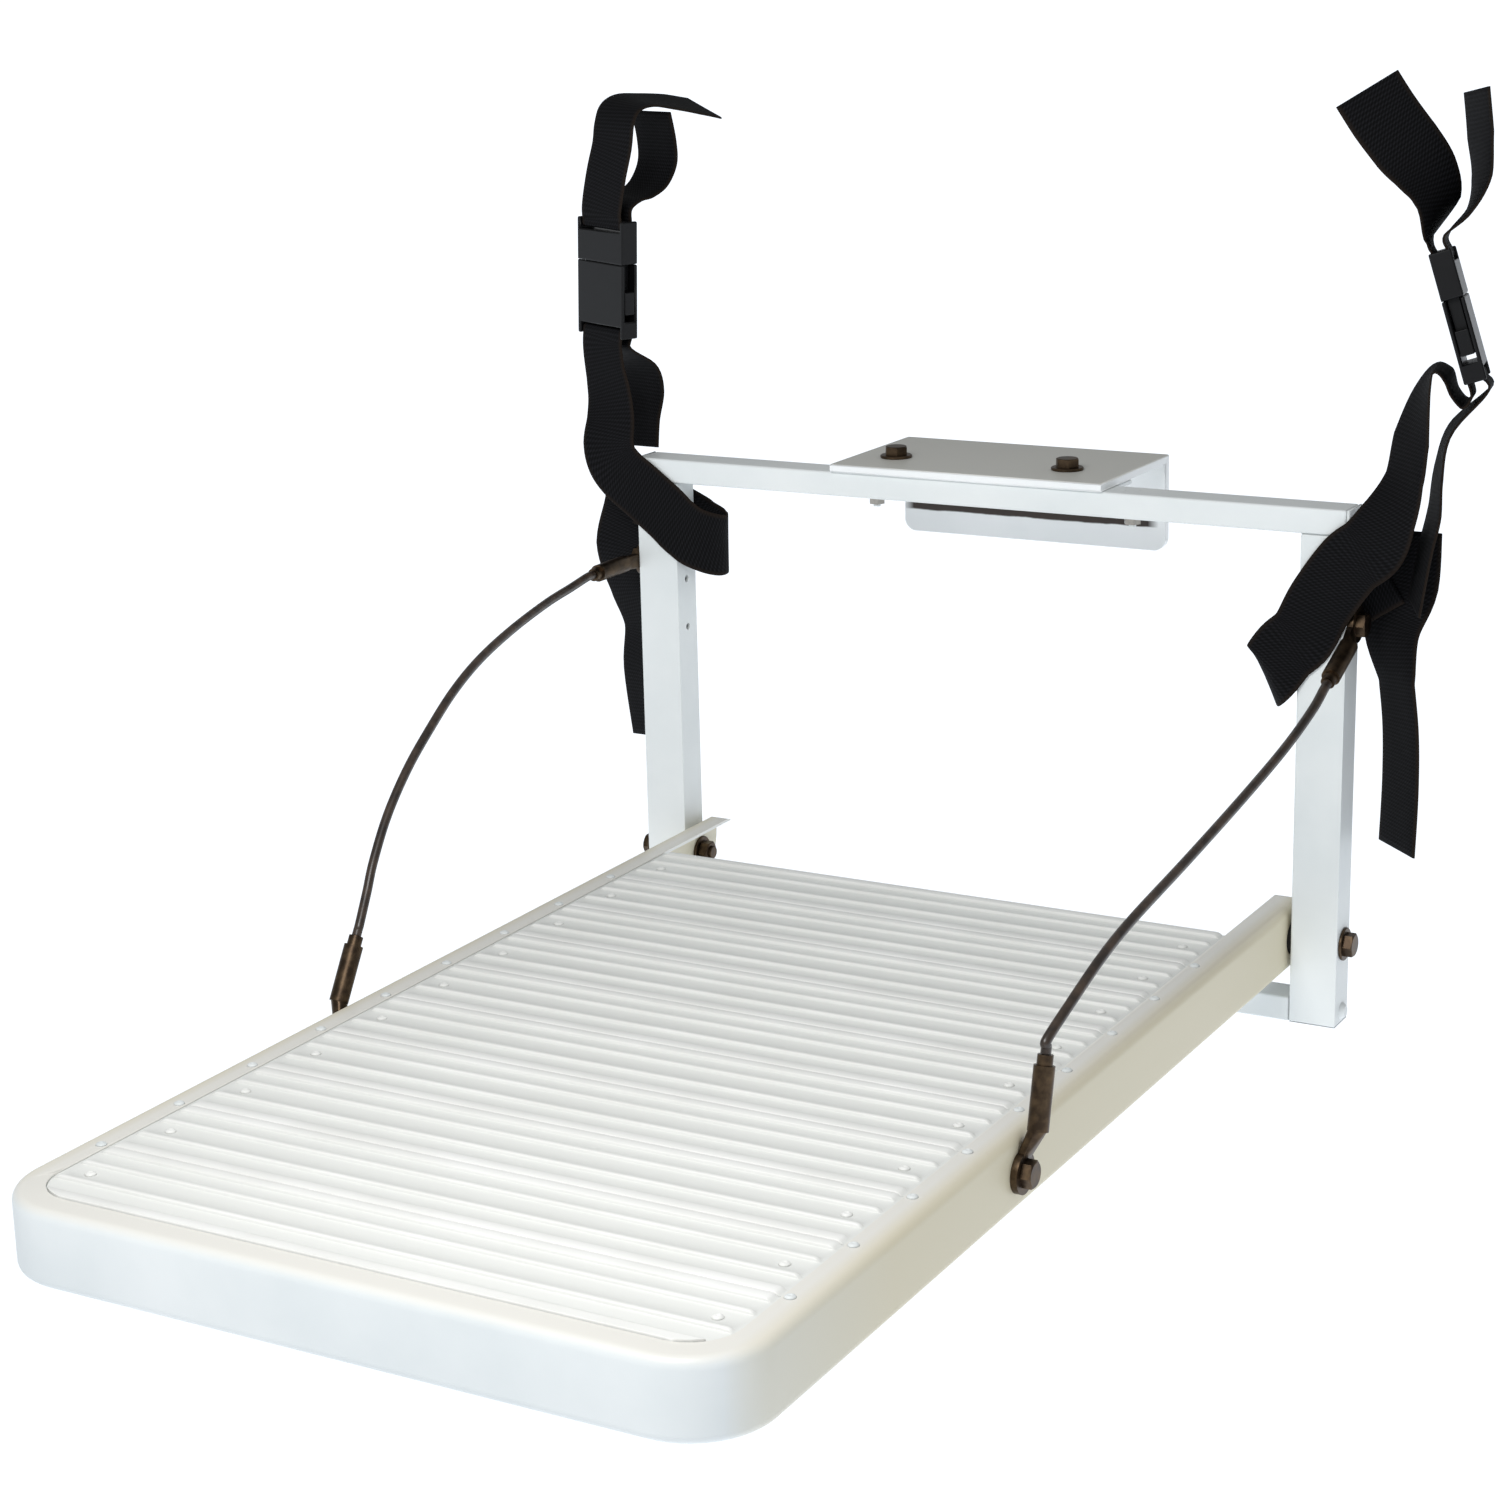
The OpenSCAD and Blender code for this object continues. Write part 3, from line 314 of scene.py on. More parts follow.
# Painted shade: the plate's top face is drawn greyer.
above = fade(tree, place.outputs["Z"], (hook_top - 1.2) * mm, (hook_top - 0.2) * mm)
top_painted_shade = laid_over(tree, above, colour, "#D0CFC8")
tree.links.new(laid_over(tree, mark, top_painted_shade, "#2E221A"), shader.inputs["Base Color"])
eased("hook_plate", "frame", hook_ease, hook_coat_painted_light)
eased("hook_ledge", "frame", plate_ease, powder)

# Hex bolts: dark bronze oxide steel, forged heads with a turned chamfer, flat washers and
# plain nuts, at the hook plate, the fold pivots and both ends of the cables.
bolt_d, bolt_af, washer_d = 9.5, 14.3, 22.0
hook_bolt_x, hook_bolt_y = (-74, 54), 11.15
bronze, tree, shader = new_material("dark_bronze_steel", metallic=1.0, roughness=0.38)
# Black oxide over steel: brown-black, with rubbed lighter patches about 6 mm across.
rub = noise(tree, add(tree, "ShaderNodeTexCoord").outputs["Object"], 6, 5.0)
tree.links.new(tones(tree, rub, "#463A2F", "#6A5844", 0.4, 0.8), shader.inputs["Base Color"])
tree.links.new(fade(tree, rub, 0.0, 1.0, 0.28, 0.5), shader.inputs["Roughness"])


def lathe(bm, profile, sides, turn):
    """Adds a turned shape: radius and height pairs from the axis out and back to it."""
    rings = []
    for radius, height in profile:
        if radius == 0:
            rings.append([bm.verts.new(turn @ Vector((0, 0, height)))])
        else:
            rings.append([bm.verts.new(turn @ Vector((radius * math.cos(a), radius * math.sin(a), height)))
                          for a in (2 * math.pi * k / sides for k in range(sides))])
    for one, two in zip(rings, rings[1:]):
        for k in range(sides):
            n = (k + 1) % sides
            corners = [one[k % len(one)], one[n % len(one)], two[n % len(two)], two[k % len(two)]]
            corners = [c for i, c in enumerate(corners) if c not in corners[:i]]
            bm.faces.new(corners)


def hex_shape(bm, flats, low, high, turn, chamfer_low=False):
    """Adds a hexagon with its top corners, and perhaps its lower ones, turned off at 30 degrees."""
    sides, face_r, slope = 48, flats / 2 * 0.95, math.tan(math.radians(30))
    rows = []
    for top, radius in ((False, face_r), (False, None), (True, None), (True, face_r)):
        row = []
        for a in (2 * math.pi * k / sides for k in range(sides)):
            reach = flats / 2 / math.cos((a % (math.pi / 3)) - math.pi / 6)
            r = reach if radius is None else radius
            drop = max(0, r - face_r) * slope if (top or chamfer_low) else 0
            z = high - drop if top else low + drop
            row.append(bm.verts.new(turn @ Vector((r * math.cos(a), r * math.sin(a), z))))
        rows.append(row)
    for one, two in zip(rows, rows[1:]):
        for k in range(sides):
            n = (k + 1) % sides
            bm.faces.new((one[k], one[n], two[n], two[k]))
    bm.faces.new(rows[0][::-1])
    bm.faces.new(rows[-1])


def bolt_mesh(name, places, parts):
    """Bolts as one mesh: each place is a point and an outward axis, parts are heights along it."""
    bm = bmesh.new()
    for point, axis in places:
        turn = Vector(axis).to_track_quat("Z", "Y").to_matrix().to_4x4()
        turn = Matrix.Translation(Vector(point) * mm) @ turn @ Matrix.Scale(mm, 4)
        for kind, size, low, high in parts:
            if kind == "hex":
                hex_shape(bm, size, low, high, turn, chamfer_low=high <= 0)
            else:
                e = min(0.5, (high - low) / 4)
                lathe(bm, ((0, low), (size / 2 - e, low), (size / 2, low + e), (size / 2, high - e),
                           (size / 2 - e, high), (0, high)), 40, turn)
    bmesh.ops.recalc_face_normals(bm, faces=bm.faces[:])
    mesh = bpy.data.meshes.new(name)
    bm.to_mesh(mesh)
    bm.free()
    for face in mesh.polygons:
        face.use_smooth = True
    mesh.set_sharp_from_angle(angle=math.radians(25))
    mesh.materials.append(bronze)
    return link(name, mesh)


head, washer = ("hex", bolt_af, 2, 8), ("disc", washer_d, 0, 2)
hook_set = bolt_mesh("hook_bolt_set", [((x, hook_bolt_y, hook_top), (0, 0, 1)) for x in hook_bolt_x],
                     (washer, head, ("disc", bolt_d, -18, -9), ("hex", bolt_af, -16, -9)))
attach(hook_set, "frame")
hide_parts("hook_bolts", "hook_washers", "hook_nuts")
pivot_set = bolt_mesh("pivot_bolt_set", [((s * post_out, mid_y, axis_z), (s, 0, 0)) for s in (-1, 1)],
                      (washer, head, ("disc", bolt_d, -48.35, 0), ("disc", washer_d, -39.35, -37.35),
                       ("hex", bolt_af, -46.35, -39.35)))
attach(pivot_set, "frame")
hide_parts("pivot_bolt_left", "pivot_bolt_right", "pivot_washers", "pivot_nuts")
upper_set = bolt_mesh("cable_bolt_set_upper",
                      [((s * post_out, mid_y, anchor_z), (s, 0, 0)) for s in (-1, 1)],
                      (("hex", bolt_af, 4, 10), ("disc", bolt_d, -11, 4), ("hex", bolt_af, -9, -2)))
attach(upper_set, "frame")
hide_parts("cable_top_bolts", "cable_top_nuts")
lower_set = bolt_mesh("cable_bolt_set_lower",
                      [((s * rail_out, anchor_y, axis_z), (s, 0, 0)) for s in (-1, 1)],
                      (("hex", bolt_af, 4, 10), ("disc", bolt_d, -11.5, 4), ("hex", bolt_af, -9.5, -2.5)))
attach(lower_set, "platform")
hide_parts("anchor_bolts", "anchor_nuts")

# Cable terminals: forged eyes held by the bolts, each with a round sleeve swaged on the cable's
# end, in the same dark finish.
term_ease = 0.6
for node, body in (("cable_top_end_left", "frame"), ("cable_top_end_right", "frame"),
                   ("cable_low_end_left", "platform"), ("cable_low_end_right", "platform")):
    eased(node, body, term_ease, bronze, segments=2, longest=3.0)

# Small screws: dome heads at the feet of the posts and flush heads in the top tube, coated with
# the frame, with zinc plated nuts under the tube.
zinc, tree, shader = new_material("zinc_plated_steel", metallic=1.0, roughness=0.34)
# Clear zinc plate: grey, with a faint crystalline cloud about 3 mm across.
cloud = noise(tree, add(tree, "ShaderNodeTexCoord").outputs["Object"], 3, 3.0)
tree.links.new(tones(tree, cloud, "#8F8A83", "#B9B4AC"), shader.inputs["Base Color"])
for node, material in (("foot_screws", powder), ("tube_screws", powder), ("tube_screw_nuts", zinc)):
    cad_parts[node].material_slots[0].material = material

# Platform rim: one aluminium channel bent round the front corners, its flange level with the
# deck that it frames, powder coated with the frame; painted warm light on top, and painted warm
# shade on the outer faces of the rails.
rim_top, rim_ease, shade_w, shade_front, shade_full = 69.0, 0.7, 12.0, -740.0, -600.0
rim_coat_painted_light_and_shade, tree, shader, own, colour = powder_coat("white_powder_coat_painted_light_and_shade", coat_low, coat_high)
place = add(tree, "ShaderNodeSeparateXYZ", {"Vector": own})
reach = calc(tree, "ABSOLUTE", place.outputs["X"])
# Painted warm shade on the rails' outer faces, weaker towards the front.
outer = fade(tree, reach, (rail_out - shade_w) * mm, (rail_out - 0.4) * mm)
along = fade(tree, place.outputs["Y"], shade_front * mm, shade_full * mm, 0.55, 1.0)
# Painted warm light on the top of the flange.
above = fade(tree, place.outputs["Z"], (rim_top - 3.5) * mm, (rim_top - 0.1) * mm)
top_painted_warm_light = laid_over(tree, above, colour, "#EAE8E1")
side_painted_warm_shade = laid_over(tree, calc(tree, "MULTIPLY", outer, along), top_painted_warm_light, "#DFD6BB")
tree.links.new(side_painted_warm_shade, shader.inputs["Base Color"])
eased("platform_rim", "platform", rim_ease, rim_coat_painted_light_and_shade, segments=2, longest=12.0)

# Deck slats: ten alike ribbed extrusions side by side, riveted on strips under the rim, their
# ribs pressed flat at the ends; the first one has its front corners cut to the rim's bend.
slat_pitch, slat_end, deck_front = 66.0, 209.4, -749.25
floor_low, slat_t, rib_h, slat_edge_w, rib_w, rib_off = 66.5, 1.6, 2.0, 7.5, 3.0, 10.5
leg_h, leg_half, bend_x, bend_y, bend_r = 13.0, 182.9, 181.9, -721.75, 27.3
floor_top = floor_low + slat_t
deck_white, tree, shader = new_material("white_coated_extrusion", roughness=0.45, ior=1.5)
# Powder over extruded aluminium: satin white, die lines along the slat about 4 mm apart and
# painted grey shade on the low floors between the ribs.
own = add(tree, "ShaderNodeTexCoord").outputs["Object"]
drawn = add(tree, "ShaderNodeMapping", {"Vector": own, "Scale": (0.02, 1.0, 1.0)}).outputs["Vector"]
colour = tones(tree, noise(tree, own, 60, 4.0), "#F2F2EE", "#FAFAF7", 0.3, 0.7)
place = add(tree, "ShaderNodeSeparateXYZ", {"Vector": own})
# Painted shade: the low floors are drawn greyer than the ribs.
floor_painted_shade = fade(tree, place.outputs["Z"], (floor_top + 0.1) * mm, (floor_top + 1.3) * mm, 1.0, 0.0)
tree.links.new(laid_over(tree, floor_painted_shade, colour, "#EAEBE7"), shader.inputs["Base Color"])
grain_on(tree, shader, noise(tree, drawn, 4, 3.0), 0.04, 0.2)

row = bpy.data.node_groups.new("row_of_copies", "GeometryNodeTree")
row.is_modifier = True
for name, kind in (("Geometry", "NodeSocketGeometry"), ("Count", "NodeSocketInt"),
                   ("Step", "NodeSocketVector"), ("Finish", "NodeSocketMaterial")):
    row.interface.new_socket(name, in_out="INPUT", socket_type=kind)
row.interface.new_socket("Geometry", in_out="OUTPUT", socket_type="NodeSocketGeometry")
given = add(row, "NodeGroupInput")
points = add(row, "GeometryNodeMeshLine", {"Count": given.outputs["Count"], "Offset": given.outputs["Step"]})
copies = add(row, "GeometryNodeInstanceOnPoints", {"Points": points.outputs["Mesh"],
                                                  "Instance": given.outputs["Geometry"]})
real = add(row, "GeometryNodeRealizeInstances", {"Geometry": copies.outputs["Instances"]})
coated = add(row, "GeometryNodeSetMaterial", {"Geometry": real.outputs["Geometry"],
                                              "Material": given.outputs["Finish"]})
add(row, "NodeGroupOutput", {"Geometry": coated.outputs["Geometry"]})
row_inputs = {item.name: item.identifier for item in row.interface.items_tree if item.in_out == "INPUT"}


def in_rows(piece, material, *rows):
    """Turns one piece into rows of copies, (count, step in mm) for each row, as a plain mesh."""
    for count, step in rows:
        made = piece.modifiers.new("row", "NODES")
        made.node_group = row
        made[row_inputs["Count"]] = count
        made[row_inputs["Step"]] = [c * mm for c in step]
        made[row_inputs["Finish"]] = material
    bpy.context.view_layer.update()
    mesh = bpy.data.meshes.new_from_object(piece.evaluated_get(bpy.context.evaluated_depsgraph_get()))
    piece.modifiers.clear()
    piece.data = mesh
    return piece


def slat_mesh(name, cut_corners):
    """One slat as an extrusion with eased ribs, drawn at the first slat's place."""
    half, top, base, ease, fillet = (slat_pitch - 0.6) / 2, slat_t + rib_h, slat_t, 0.7, 0.5

    def raised(a, b, left_wall, right_wall):
        pts = [(a - fillet, base), (a, base + fillet)] if left_wall else []
        pts += [(a, top - ease), (a + ease * 0.3, top - ease * 0.3), (a + ease, top), (b - ease, top),
                (b - ease * 0.3, top - ease * 0.3), (b, top - ease)]
        return pts + ([(b, base + fillet), (b + fillet, base)] if right_wall else [])

    outline = [(-half, 0)] + raised(-half, -half + slat_edge_w, False, True)
    for s in (-1, 1):
        outline += raised(s * rib_off - rib_w / 2, s * rib_off + rib_w / 2, True, True)
    outline += raised(half - slat_edge_w, half, True, False) + [(half, 0)]
    bm = bmesh.new()
    middle = deck_front + slat_pitch / 2
    # Distances from the slat's end, and the share of the ribs' height there.
    cuts = [(0, 0.0), (2.0, 0.0), (3.2, 0.55), (4.6, 0.9), (6.2, 1.0)]
    cuts = [(-slat_end + c, h) for c, h in cuts] + [(slat_end - c, h) for c, h in cuts[::-1]]
    rows = [[bm.verts.new(Vector((x, middle + y, floor_low + min(z, base) + h * max(0, z - base))) * mm)
             for y, z in outline] for x, h in cuts]
    for one, two in zip(rows, rows[1:]):
        for k in range(len(outline)):
            n = (k + 1) % len(outline)
            bm.faces.new((one[k], one[n], two[n], two[k]))
    bm.faces.new(rows[0][::-1])
    bm.faces.new(rows[-1])
    for s in (-1, 1):
        y = middle + s * (half - slat_edge_w)
        for v in bmesh.ops.create_cube(bm, size=1.0)["verts"]:
            v.co = Vector((v.co.x * 2 * leg_half, y + v.co.y * slat_t,
                           floor_low - leg_h / 2 + v.co.z * leg_h)) * mm
    if cut_corners:
        for s in (-1, 1):
            for angle in (11, 23, 34, 45, 56, 67, 79):
                a = math.radians(angle)
                out = Vector((s * math.cos(a), -math.sin(a), 0))
                at = Vector((s * bend_x, bend_y, 0)) * mm + out * bend_r * mm
                cut = bmesh.ops.bisect_plane(bm, geom=bm.verts[:] + bm.edges[:] + bm.faces[:], plane_co=at,
                                             plane_no=out, clear_outer=True)
                rim = [g for g in cut["geom_cut"] if isinstance(g, bmesh.types.BMEdge)]
                bmesh.ops.holes_fill(bm, edges=rim, sides=0)
    bmesh.ops.recalc_face_normals(bm, faces=bm.faces[:])
    mesh = bpy.data.meshes.new(name)
    bm.to_mesh(mesh)
    bm.free()
    for face in mesh.polygons:
        face.use_smooth = True
    mesh.set_sharp_from_angle(angle=math.radians(50))
    mesh.materials.append(deck_white)
    return mesh


first_slat = link("deck_slat_first", slat_mesh("deck_slat_first", True))
other_mesh = slat_mesh("deck_slats", False)
other_mesh.transform(Matrix.Translation((0, slat_pitch * mm, 0)))
other_slats = in_rows(link("deck_slats", other_mesh), deck_white, (9, (0, slat_pitch, 0)))
for made, nodes in ((first_slat, ["slat_1"]), (other_slats, ["slat_%d" % k for k in range(2, 11)])):
    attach(made, "platform")
    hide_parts(*nodes)

# Rivets: blind aluminium rivets with low domes, coated with the deck, one at each end of each
# slat and one through the rim's flange at each joint between slats, into flat strips below.
rivet_x, rim_rivet_x, rivet_r, slat_grip, rim_grip = 192.9, 213.9, 3.3, 3.6, 4.5


def rivet_mesh(name, place, head, grip):
    """One rivet: a low dome with a dimple, its shank and the blind end below."""
    bm = bmesh.new()
    turn = Matrix.Translation(Vector(place) * mm) @ Matrix.Scale(mm, 4)
    lathe(bm, ((0, 1.0), (0.9, 1.05), (1.3, 1.45), (head * 0.55, 1.25), (head * 0.85, 0.75), (head, 0.0),
               (1.6, 0.0), (1.6, -grip), (2.4, -grip - 0.2), (2.2, -grip - 1.8), (0, -grip - 2)), 20, turn)
    bmesh.ops.recalc_face_normals(bm, faces=bm.faces[:])
    mesh = bpy.data.meshes.new(name)
    bm.to_mesh(mesh)
    bm.free()
    for face in mesh.polygons:
        face.use_smooth = True
    return mesh


for name, place, grip, finish, count in (
    ("slat_rivets", (-rivet_x, deck_front + slat_pitch / 2, floor_top), slat_grip, deck_white, 10),
    ("rim_rivets", (-rim_rivet_x, deck_front + slat_pitch, rim_top), rim_grip, powder, 9),
):
    made = link(name, rivet_mesh(name, place, rivet_r, grip))
    in_rows(made, finish, (count, (0, slat_pitch, 0)), (2, (-2 * place[0], 0, 0)))
    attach(made, "platform")
    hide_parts(name + "_left", name + "_right")
for node in ("tie_strip_left", "tie_strip_right"):
    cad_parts[node].material_slots[0].material = powder

# Pivot bushes: plain rings of black moulded nylon, a little shiny, on the fold bolts between the
# posts and the rails.
nylon, tree, shader = new_material("black_moulded_nylon", roughness=0.36, specular_ior_level=0.22)
# Moulded nylon: near black, a spark-eroded grain about 1.2 mm across and faint flow marks.
own = add(tree, "ShaderNodeTexCoord").outputs["Object"]
tree.links.new(tones(tree, noise(tree, own, 18, 3.0), "#060607", "#0E0E10"), shader.inputs["Base Color"])
grain_on(tree, shader, noise(tree, own, 1.2, 2.0), 0.15, 0.2)
for node in ("pivot_bush_left", "pivot_bush_right"):
    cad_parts[node].material_slots[0].material = nylon

# Side-release buckles: a socket below, a plug above with two springy prongs whose ribbed pads
# show in the socket's open sides, all of the same nylon; the webbing goes round a bar in each.
buckle_ease, prong_ease = 1.1, 0.8
for side in ("left", "right"):
    eased("buckle_socket_" + side, "frame", buckle_ease, nylon, longest=2.0)
    eased("buckle_plug_" + side, "plug_" + side, buckle_ease, nylon, longest=2.0)
    for end in ("a", "b"):
        name = "prong_%s_%s" % (side, end)
        eased(name, name, prong_ease, nylon, longest=2.0)

# Web straps: flat black polypropylene webbing, 44 mm wide, woven with a ribbed face and a
# turned selvedge; wrapped round the posts below, with loose tails, and cut above the plugs.
web_w, web_t, front_y, back_y = 44.0, 1.6, -26.9, 1.4
tail_y = back_y + web_t + 1.2
bar_h, bar_r, slot_h, socket_low, plug_top, buckle_y = 4.0, 3.0, 4.0, -52.0, 30.0, -13.0
bar_side = bar_r + web_t / 2 + 0.8
webbing_cloth, tree, shader = new_material("black_polypropylene_webbing", roughness=0.8,
                                           specular_ior_level=0.12)
# Woven yarn: black, with painted highlights on the rib tops, painted shade in the valleys and a
# rusty brown selvedge; the ribs are really 1.5 mm apart and are drawn 2.6 mm apart so that they show.
weave = 2 * math.pi / (2.6 * mm)
strip = add(tree, "ShaderNodeUVMap", uv_map="strap").outputs["UV"]
across = add(tree, "ShaderNodeSeparateXYZ", {"Vector": strip})
warp = calc(tree, "MULTIPLY", across.outputs["X"], weave)
weft = calc(tree, "MULTIPLY", across.outputs["Y"], weave)
twill = calc(tree, "SINE", calc(tree, "ADD", warp, weft))
height = fade(tree, calc(tree, "ADD", twill, calc(tree, "SINE", weft)), -2.0, 2.0)
# Painted highlight and shade: paler on the ribs' tops, darker in the valleys between them.
colour = tones(tree, height, "#030304", "#1A1A1D", 0.3, 1.0)
from_middle = calc(tree, "ABSOLUTE", across.outputs["X"])
selvedge = fade(tree, from_middle, 0.42 * web_w * mm, 0.5 * web_w * mm)
tree.links.new(laid_over(tree, selvedge, colour, "#211913"), shader.inputs["Base Color"])
grain_on(tree, shader, height, 0.5, 0.3)


def webbing(name, points, widths, body, node, steps=6):
    """A strap as a closed ribbon through points, with its width along the given directions."""
    line, dirs = smooth_line(points, steps), []
    for i in range(len(widths) - 1):
        dirs += [widths[i] + (widths[i + 1] - widths[i]) * j / steps for j in range(steps)]
    dirs.append(widths[-1])
    section = [(-0.5, 0.0), (-0.49, 0.38), (-0.46, 0.5), (-0.23, 0.46), (0.0, 0.44), (0.23, 0.46),
               (0.46, 0.5), (0.49, 0.38), (0.5, 0.0), (0.49, -0.38), (0.46, -0.5), (0.23, -0.46),
               (0.0, -0.44), (-0.23, -0.46), (-0.46, -0.5), (-0.49, -0.38)]
    bm = bmesh.new()
    uv = bm.loops.layers.uv.new("strap")
    rings, run = [], [0.0]
    for i, p in enumerate(line):
        t = heading(line, i)
        u = (dirs[i] - dirs[i].dot(t) * t).normalized()
        v = t.cross(u)
        rings.append([bm.verts.new((p + a * web_w * u + b * web_t * v) * mm) for a, b in section])
        if i:
            run.append(run[-1] + (p - line[i - 1]).length * mm)
    count = len(section)
    for i in range(len(rings) - 1):
        for k in range(count):
            n = (k + 1) % count
            face = bm.faces.new((rings[i][k], rings[i + 1][k], rings[i + 1][n], rings[i][n]))
            face.smooth = True
            for loop, (c, r) in zip(face.loops, ((k, i), (k, i + 1), (n, i + 1), (n, i))):
                loop[uv].uv = (section[c][0] * web_w * mm, run[r])
    for ring in (rings[0], rings[-1]):
        face = bm.faces.new(ring)
        for loop, (a, b) in zip(face.loops, section):
            loop[uv].uv = (a * web_w * mm, 0.0)
    bmesh.ops.recalc_face_normals(bm, faces=bm.faces[:])
    mesh = bpy.data.meshes.new(name)
    bm.to_mesh(mesh)
    bm.free()
    mesh.materials.append(webbing_cloth)
    piece = link(name, mesh)
    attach(piece, body)
    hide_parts(node)


def lo(x, y, z):
    """A place by the left post's outer face, from the top of the frame, outward positive."""
    return Vector((-post_out - x, y, tube_top + z))


def li(x, y, z):
    """A place by the left post's inner face."""
    return Vector((-post_in - x, y, tube_top + z))


def ro(x, y, z):
    """A place by the right post's outer face."""
    return Vector((post_out + x, y, tube_top + z))


def ri(x, y, z):
    """A place by the right post's inner face."""
    return Vector((post_in + x, y, tube_top + z))


def buckle_at(x, z, lean, turn):
    """Where a buckle is, by its height over the frame, and how it is turned, in degrees."""
    return (Matrix.Translation((x, buckle_y, tube_top + z)) @ Matrix.Rotation(math.radians(lean), 4, "Y")
            @ Matrix.Rotation(math.radians(turn), 4, "Z"))


def round_bar(buckle, edge, s):
    """The webbing's way round a buckle's bar, whose free edge is at that height."""
    way = [(bar_side + 0.4, 8), (bar_side, -1), (bar_side - 0.2, -bar_h - 0.4),
           (bar_r - 0.6, -bar_h - slot_h / 2 - 0.1)]
    way += [(-y, z) for y, z in way[::-1]]
    return [buckle @ Vector((0, y, edge + s * z)) for y, z in way]


def bar_dirs(buckle):
    """The webbing's width along the bar, at each point of its way round it."""
    return [buckle.to_3x3() @ Vector((1, 0, 0))] * 8


def ways(*rows):
    """Directions from rows of three numbers."""
    return [Vector(r) for r in rows]


left_buckle = buckle_at(-25.5 - post_out, 135.5, 2, -20)
right_buckle = buckle_at(post_out + 58.5, 134.5, -18, -76)
webbing("strap_wrap_left",
        [lo(16, 5, 2), lo(16, 8, 22), lo(14, 12, 43), lo(16, 8, 61)] + round_bar(left_buckle, socket_low, -1)
        + [lo(26, -20, 58), lo(21.5, -23, 41), lo(19.5, -26, 25), lo(20.5, front_y - 1, 9),
           lo(17.5, front_y - 1, -3.5), lo(9, front_y - 0.8, -13.5), lo(-5, front_y, -24),
           li(8, front_y, -38), li(-3, front_y - 0.4, -47), li(-14, front_y + 0.4, -54),
           li(-24, -20, -59), li(-29, -10, -62), li(-27, 0, -62), li(-17, 5, -60), li(-3, 4.6, -54),
           li(8, back_y + 0.9, -47), lo(-6, back_y + 0.3, -39), lo(15, back_y + 0.3, -33)],
        ways((0.95, -0.3, 0), (0.95, -0.3, 0), (0.95, -0.3, 0), (0.94, -0.34, 0)) + bar_dirs(left_buckle)
        + ways((0.94, -0.34, 0), (0.95, -0.25, 0), (1, -0.15, 0), (1, -0.05, 0.1), (0.9, 0, 0.4),
               (0.7, 0, 0.7), (0.6, 0, 0.8), (0.5, 0, 0.85), (0.4, 0, 0.9), (0.3, 0, 0.95), (0.2, 0, 1),
               (0.1, 0, 1), (0, 0, 1), (0, 0, 1), (0.1, 0, 1), (0.2, 0, 1), (0.2, 0, 1), (0.2, 0, 1)),
        "frame", "strap_left")
webbing("strap_wrap_right",
        [ro(42, -20, -60), ro(45, -20, -40), ro(48, -19, -20), ro(51, -15, 0), ro(52, -12, 25),
         ro(60, -15, 54)]
        + round_bar(right_buckle, socket_low, -1)
        + [ro(68, -15, 70.5), ro(61.5, -16, 77), ro(57, -17, 88), ro(49, -18.5, 91), ro(42, -20, 74),
           ro(37, -22, 47), ro(34, -24, 22), ro(27, -27.5, 0), ro(16, front_y - 1.4, -21),
           ro(1, front_y - 0.3, -34), ro(-17, front_y, -60), ri(4, front_y, -82),
           ri(-8, front_y - 0.4, -94), ri(-18, front_y + 1, -108), ri(-24, -17, -114), ri(-25, -6, -114),
           ri(-19, 3, -107), ri(-6, 4.6, -92), ri(8, back_y + 0.9, -75), ro(-7, back_y + 0.3, -60),
           ro(17, back_y + 0.3, -44)],
        ways((0.45, -0.9, 0), (0.45, -0.9, 0), (0.45, -0.9, 0), (0.45, -0.9, 0), (0.4, -0.92, 0),
             (0.3, -0.95, 0))
        + bar_dirs(right_buckle)
        + ways((0.22, -0.97, 0), (0.2, -0.98, 0), (0.15, -0.99, 0), (0.25, -0.97, 0), (0.5, -0.85, 0),
               (0.72, -0.69, 0), (0.75, -0.66, 0), (0.8, -0.4, -0.2), (0.75, 0, -0.6), (0.7, 0, -0.7),
               (0.65, 0, -0.75), (0.65, 0, -0.75), (0.6, 0, -0.8), (0.55, 0, -0.83), (0.45, 0, -0.9),
               (0.3, 0, -0.95), (0.3, 0, -0.95), (0.5, 0, -0.85), (0.6, 0, -0.8), (0.6, 0, -0.8),
               (0.6, 0, -0.8)),
        "frame", "strap_right")
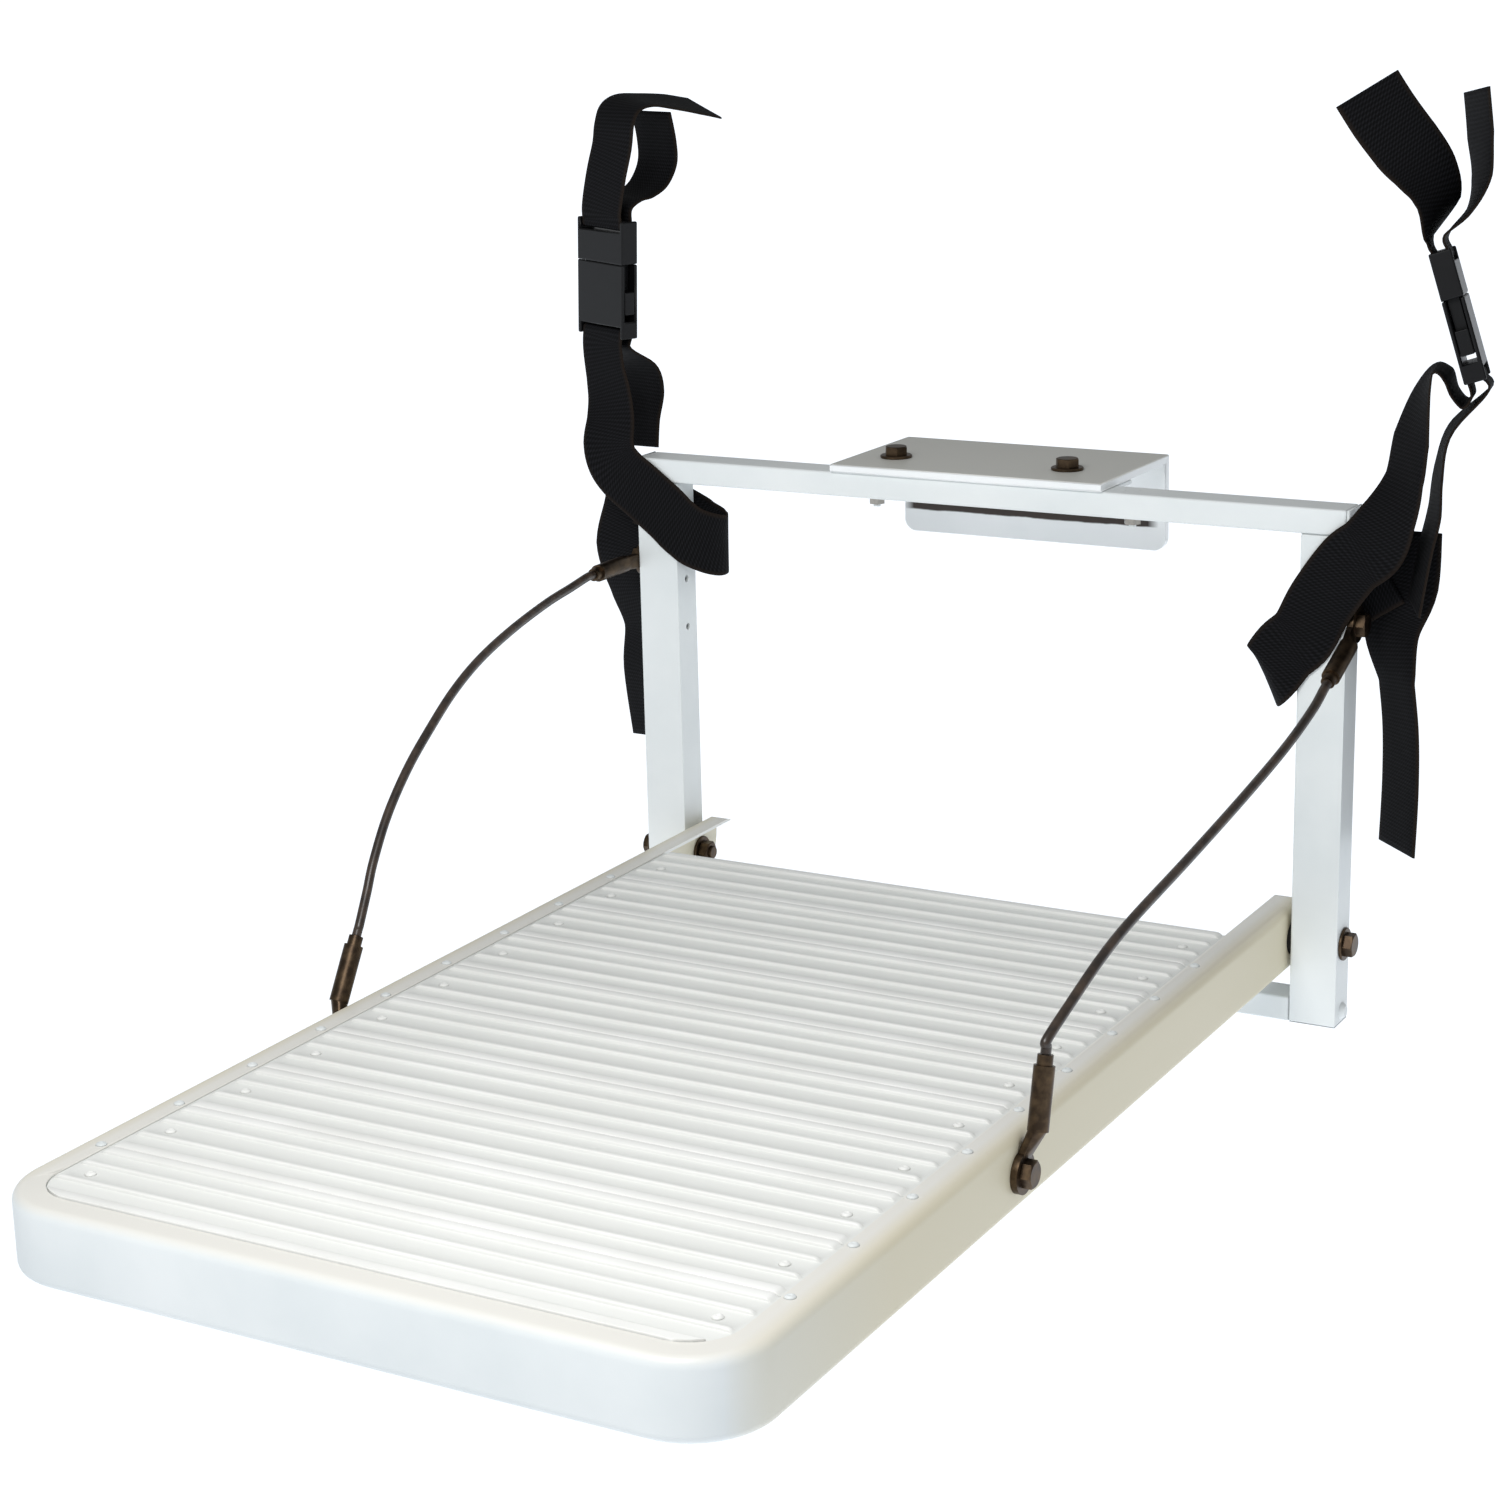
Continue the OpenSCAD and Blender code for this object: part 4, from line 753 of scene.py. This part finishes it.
webbing("strap_end_left",
        [lo(18, tail_y, -14), lo(24, tail_y, -44), lo(34, 7, -75), lo(32, 11, -105), lo(23, 13, -134),
         lo(25, 13, -168), lo(19, 13, -216)],
        ways((1, 0, 0), (1, 0, 0), (1, 0, 0), (0.9, -0.3, 0), (0.9, -0.4, 0), (0.9, -0.4, 0),
             (0.9, -0.4, 0)),
        "frame", "strap_tail_left")
webbing("strap_end_right",
        [ro(29, tail_y, -16), ro(28, tail_y, -50), ro(20, tail_y, -80), ro(25, 3, -115), ro(29, 2, -147),
         ro(30, 2, -185), ro(29, 2, -226)],
        ways((1, 0, 0), (1, 0, 0), (0.95, -0.3, 0), (0.75, -0.66, 0), (0.75, -0.66, 0), (0.75, -0.66, 0),
             (0.75, -0.66, 0)),
        "frame", "strap_tail_right")
webbing("strap_upper_left",
        [lo(-13, 62, 237), lo(-6, 43, 241), lo(1, 23, 244), lo(8, 3, 246), lo(12.5, -9, 242),
         lo(14.5, -15, 232), lo(16, -17, 216), lo(21, -18, 196)]
        + round_bar(left_buckle, plug_top, 1)[::-1]
        + [lo(19.5, 0, 178), lo(16, 11, 180), lo(11.5, 23, 187), lo(8.5, 31, 201), lo(8.5, 31, 217),
           lo(10, 27, 237)],
        ways((0.9, -0.32, -0.3), (0.9, -0.32, -0.28), (0.92, -0.33, -0.22), (0.93, -0.34, -0.15),
             (0.94, -0.34, -0.08), (0.94, -0.34, 0), (0.94, -0.34, 0), (0.94, -0.34, 0))
        + bar_dirs(left_buckle) + ways((0.94, -0.34, 0)) * 6,
        "plug_left", "strap_top_left")
webbing("strap_upper_right",
        [ro(-1, -13, 259), ro(11, -13, 242), ro(25, -13, 225), ro(38, -14, 210), ro(46, -15, 193)]
        + round_bar(right_buckle, plug_top, 1)[::-1]
        + [ro(64, -7, 187), ro(69, -2, 206), ro(66, 2, 231), ro(62, 4, 258)],
        ways((0.33, 0.45, 0.83), (0.33, 0.45, 0.83), (0.35, 0.5, 0.8), (0.4, 0.7, 0.55), (0.35, 0.9, 0.2))
        + [-d for d in bar_dirs(right_buckle)]
        + ways((-0.3, 0.95, 0), (-0.5, 0.85, 0), (-0.6, 0.8, 0), (-0.6, 0.8, 0)),
        "plug_right", "strap_top_right")
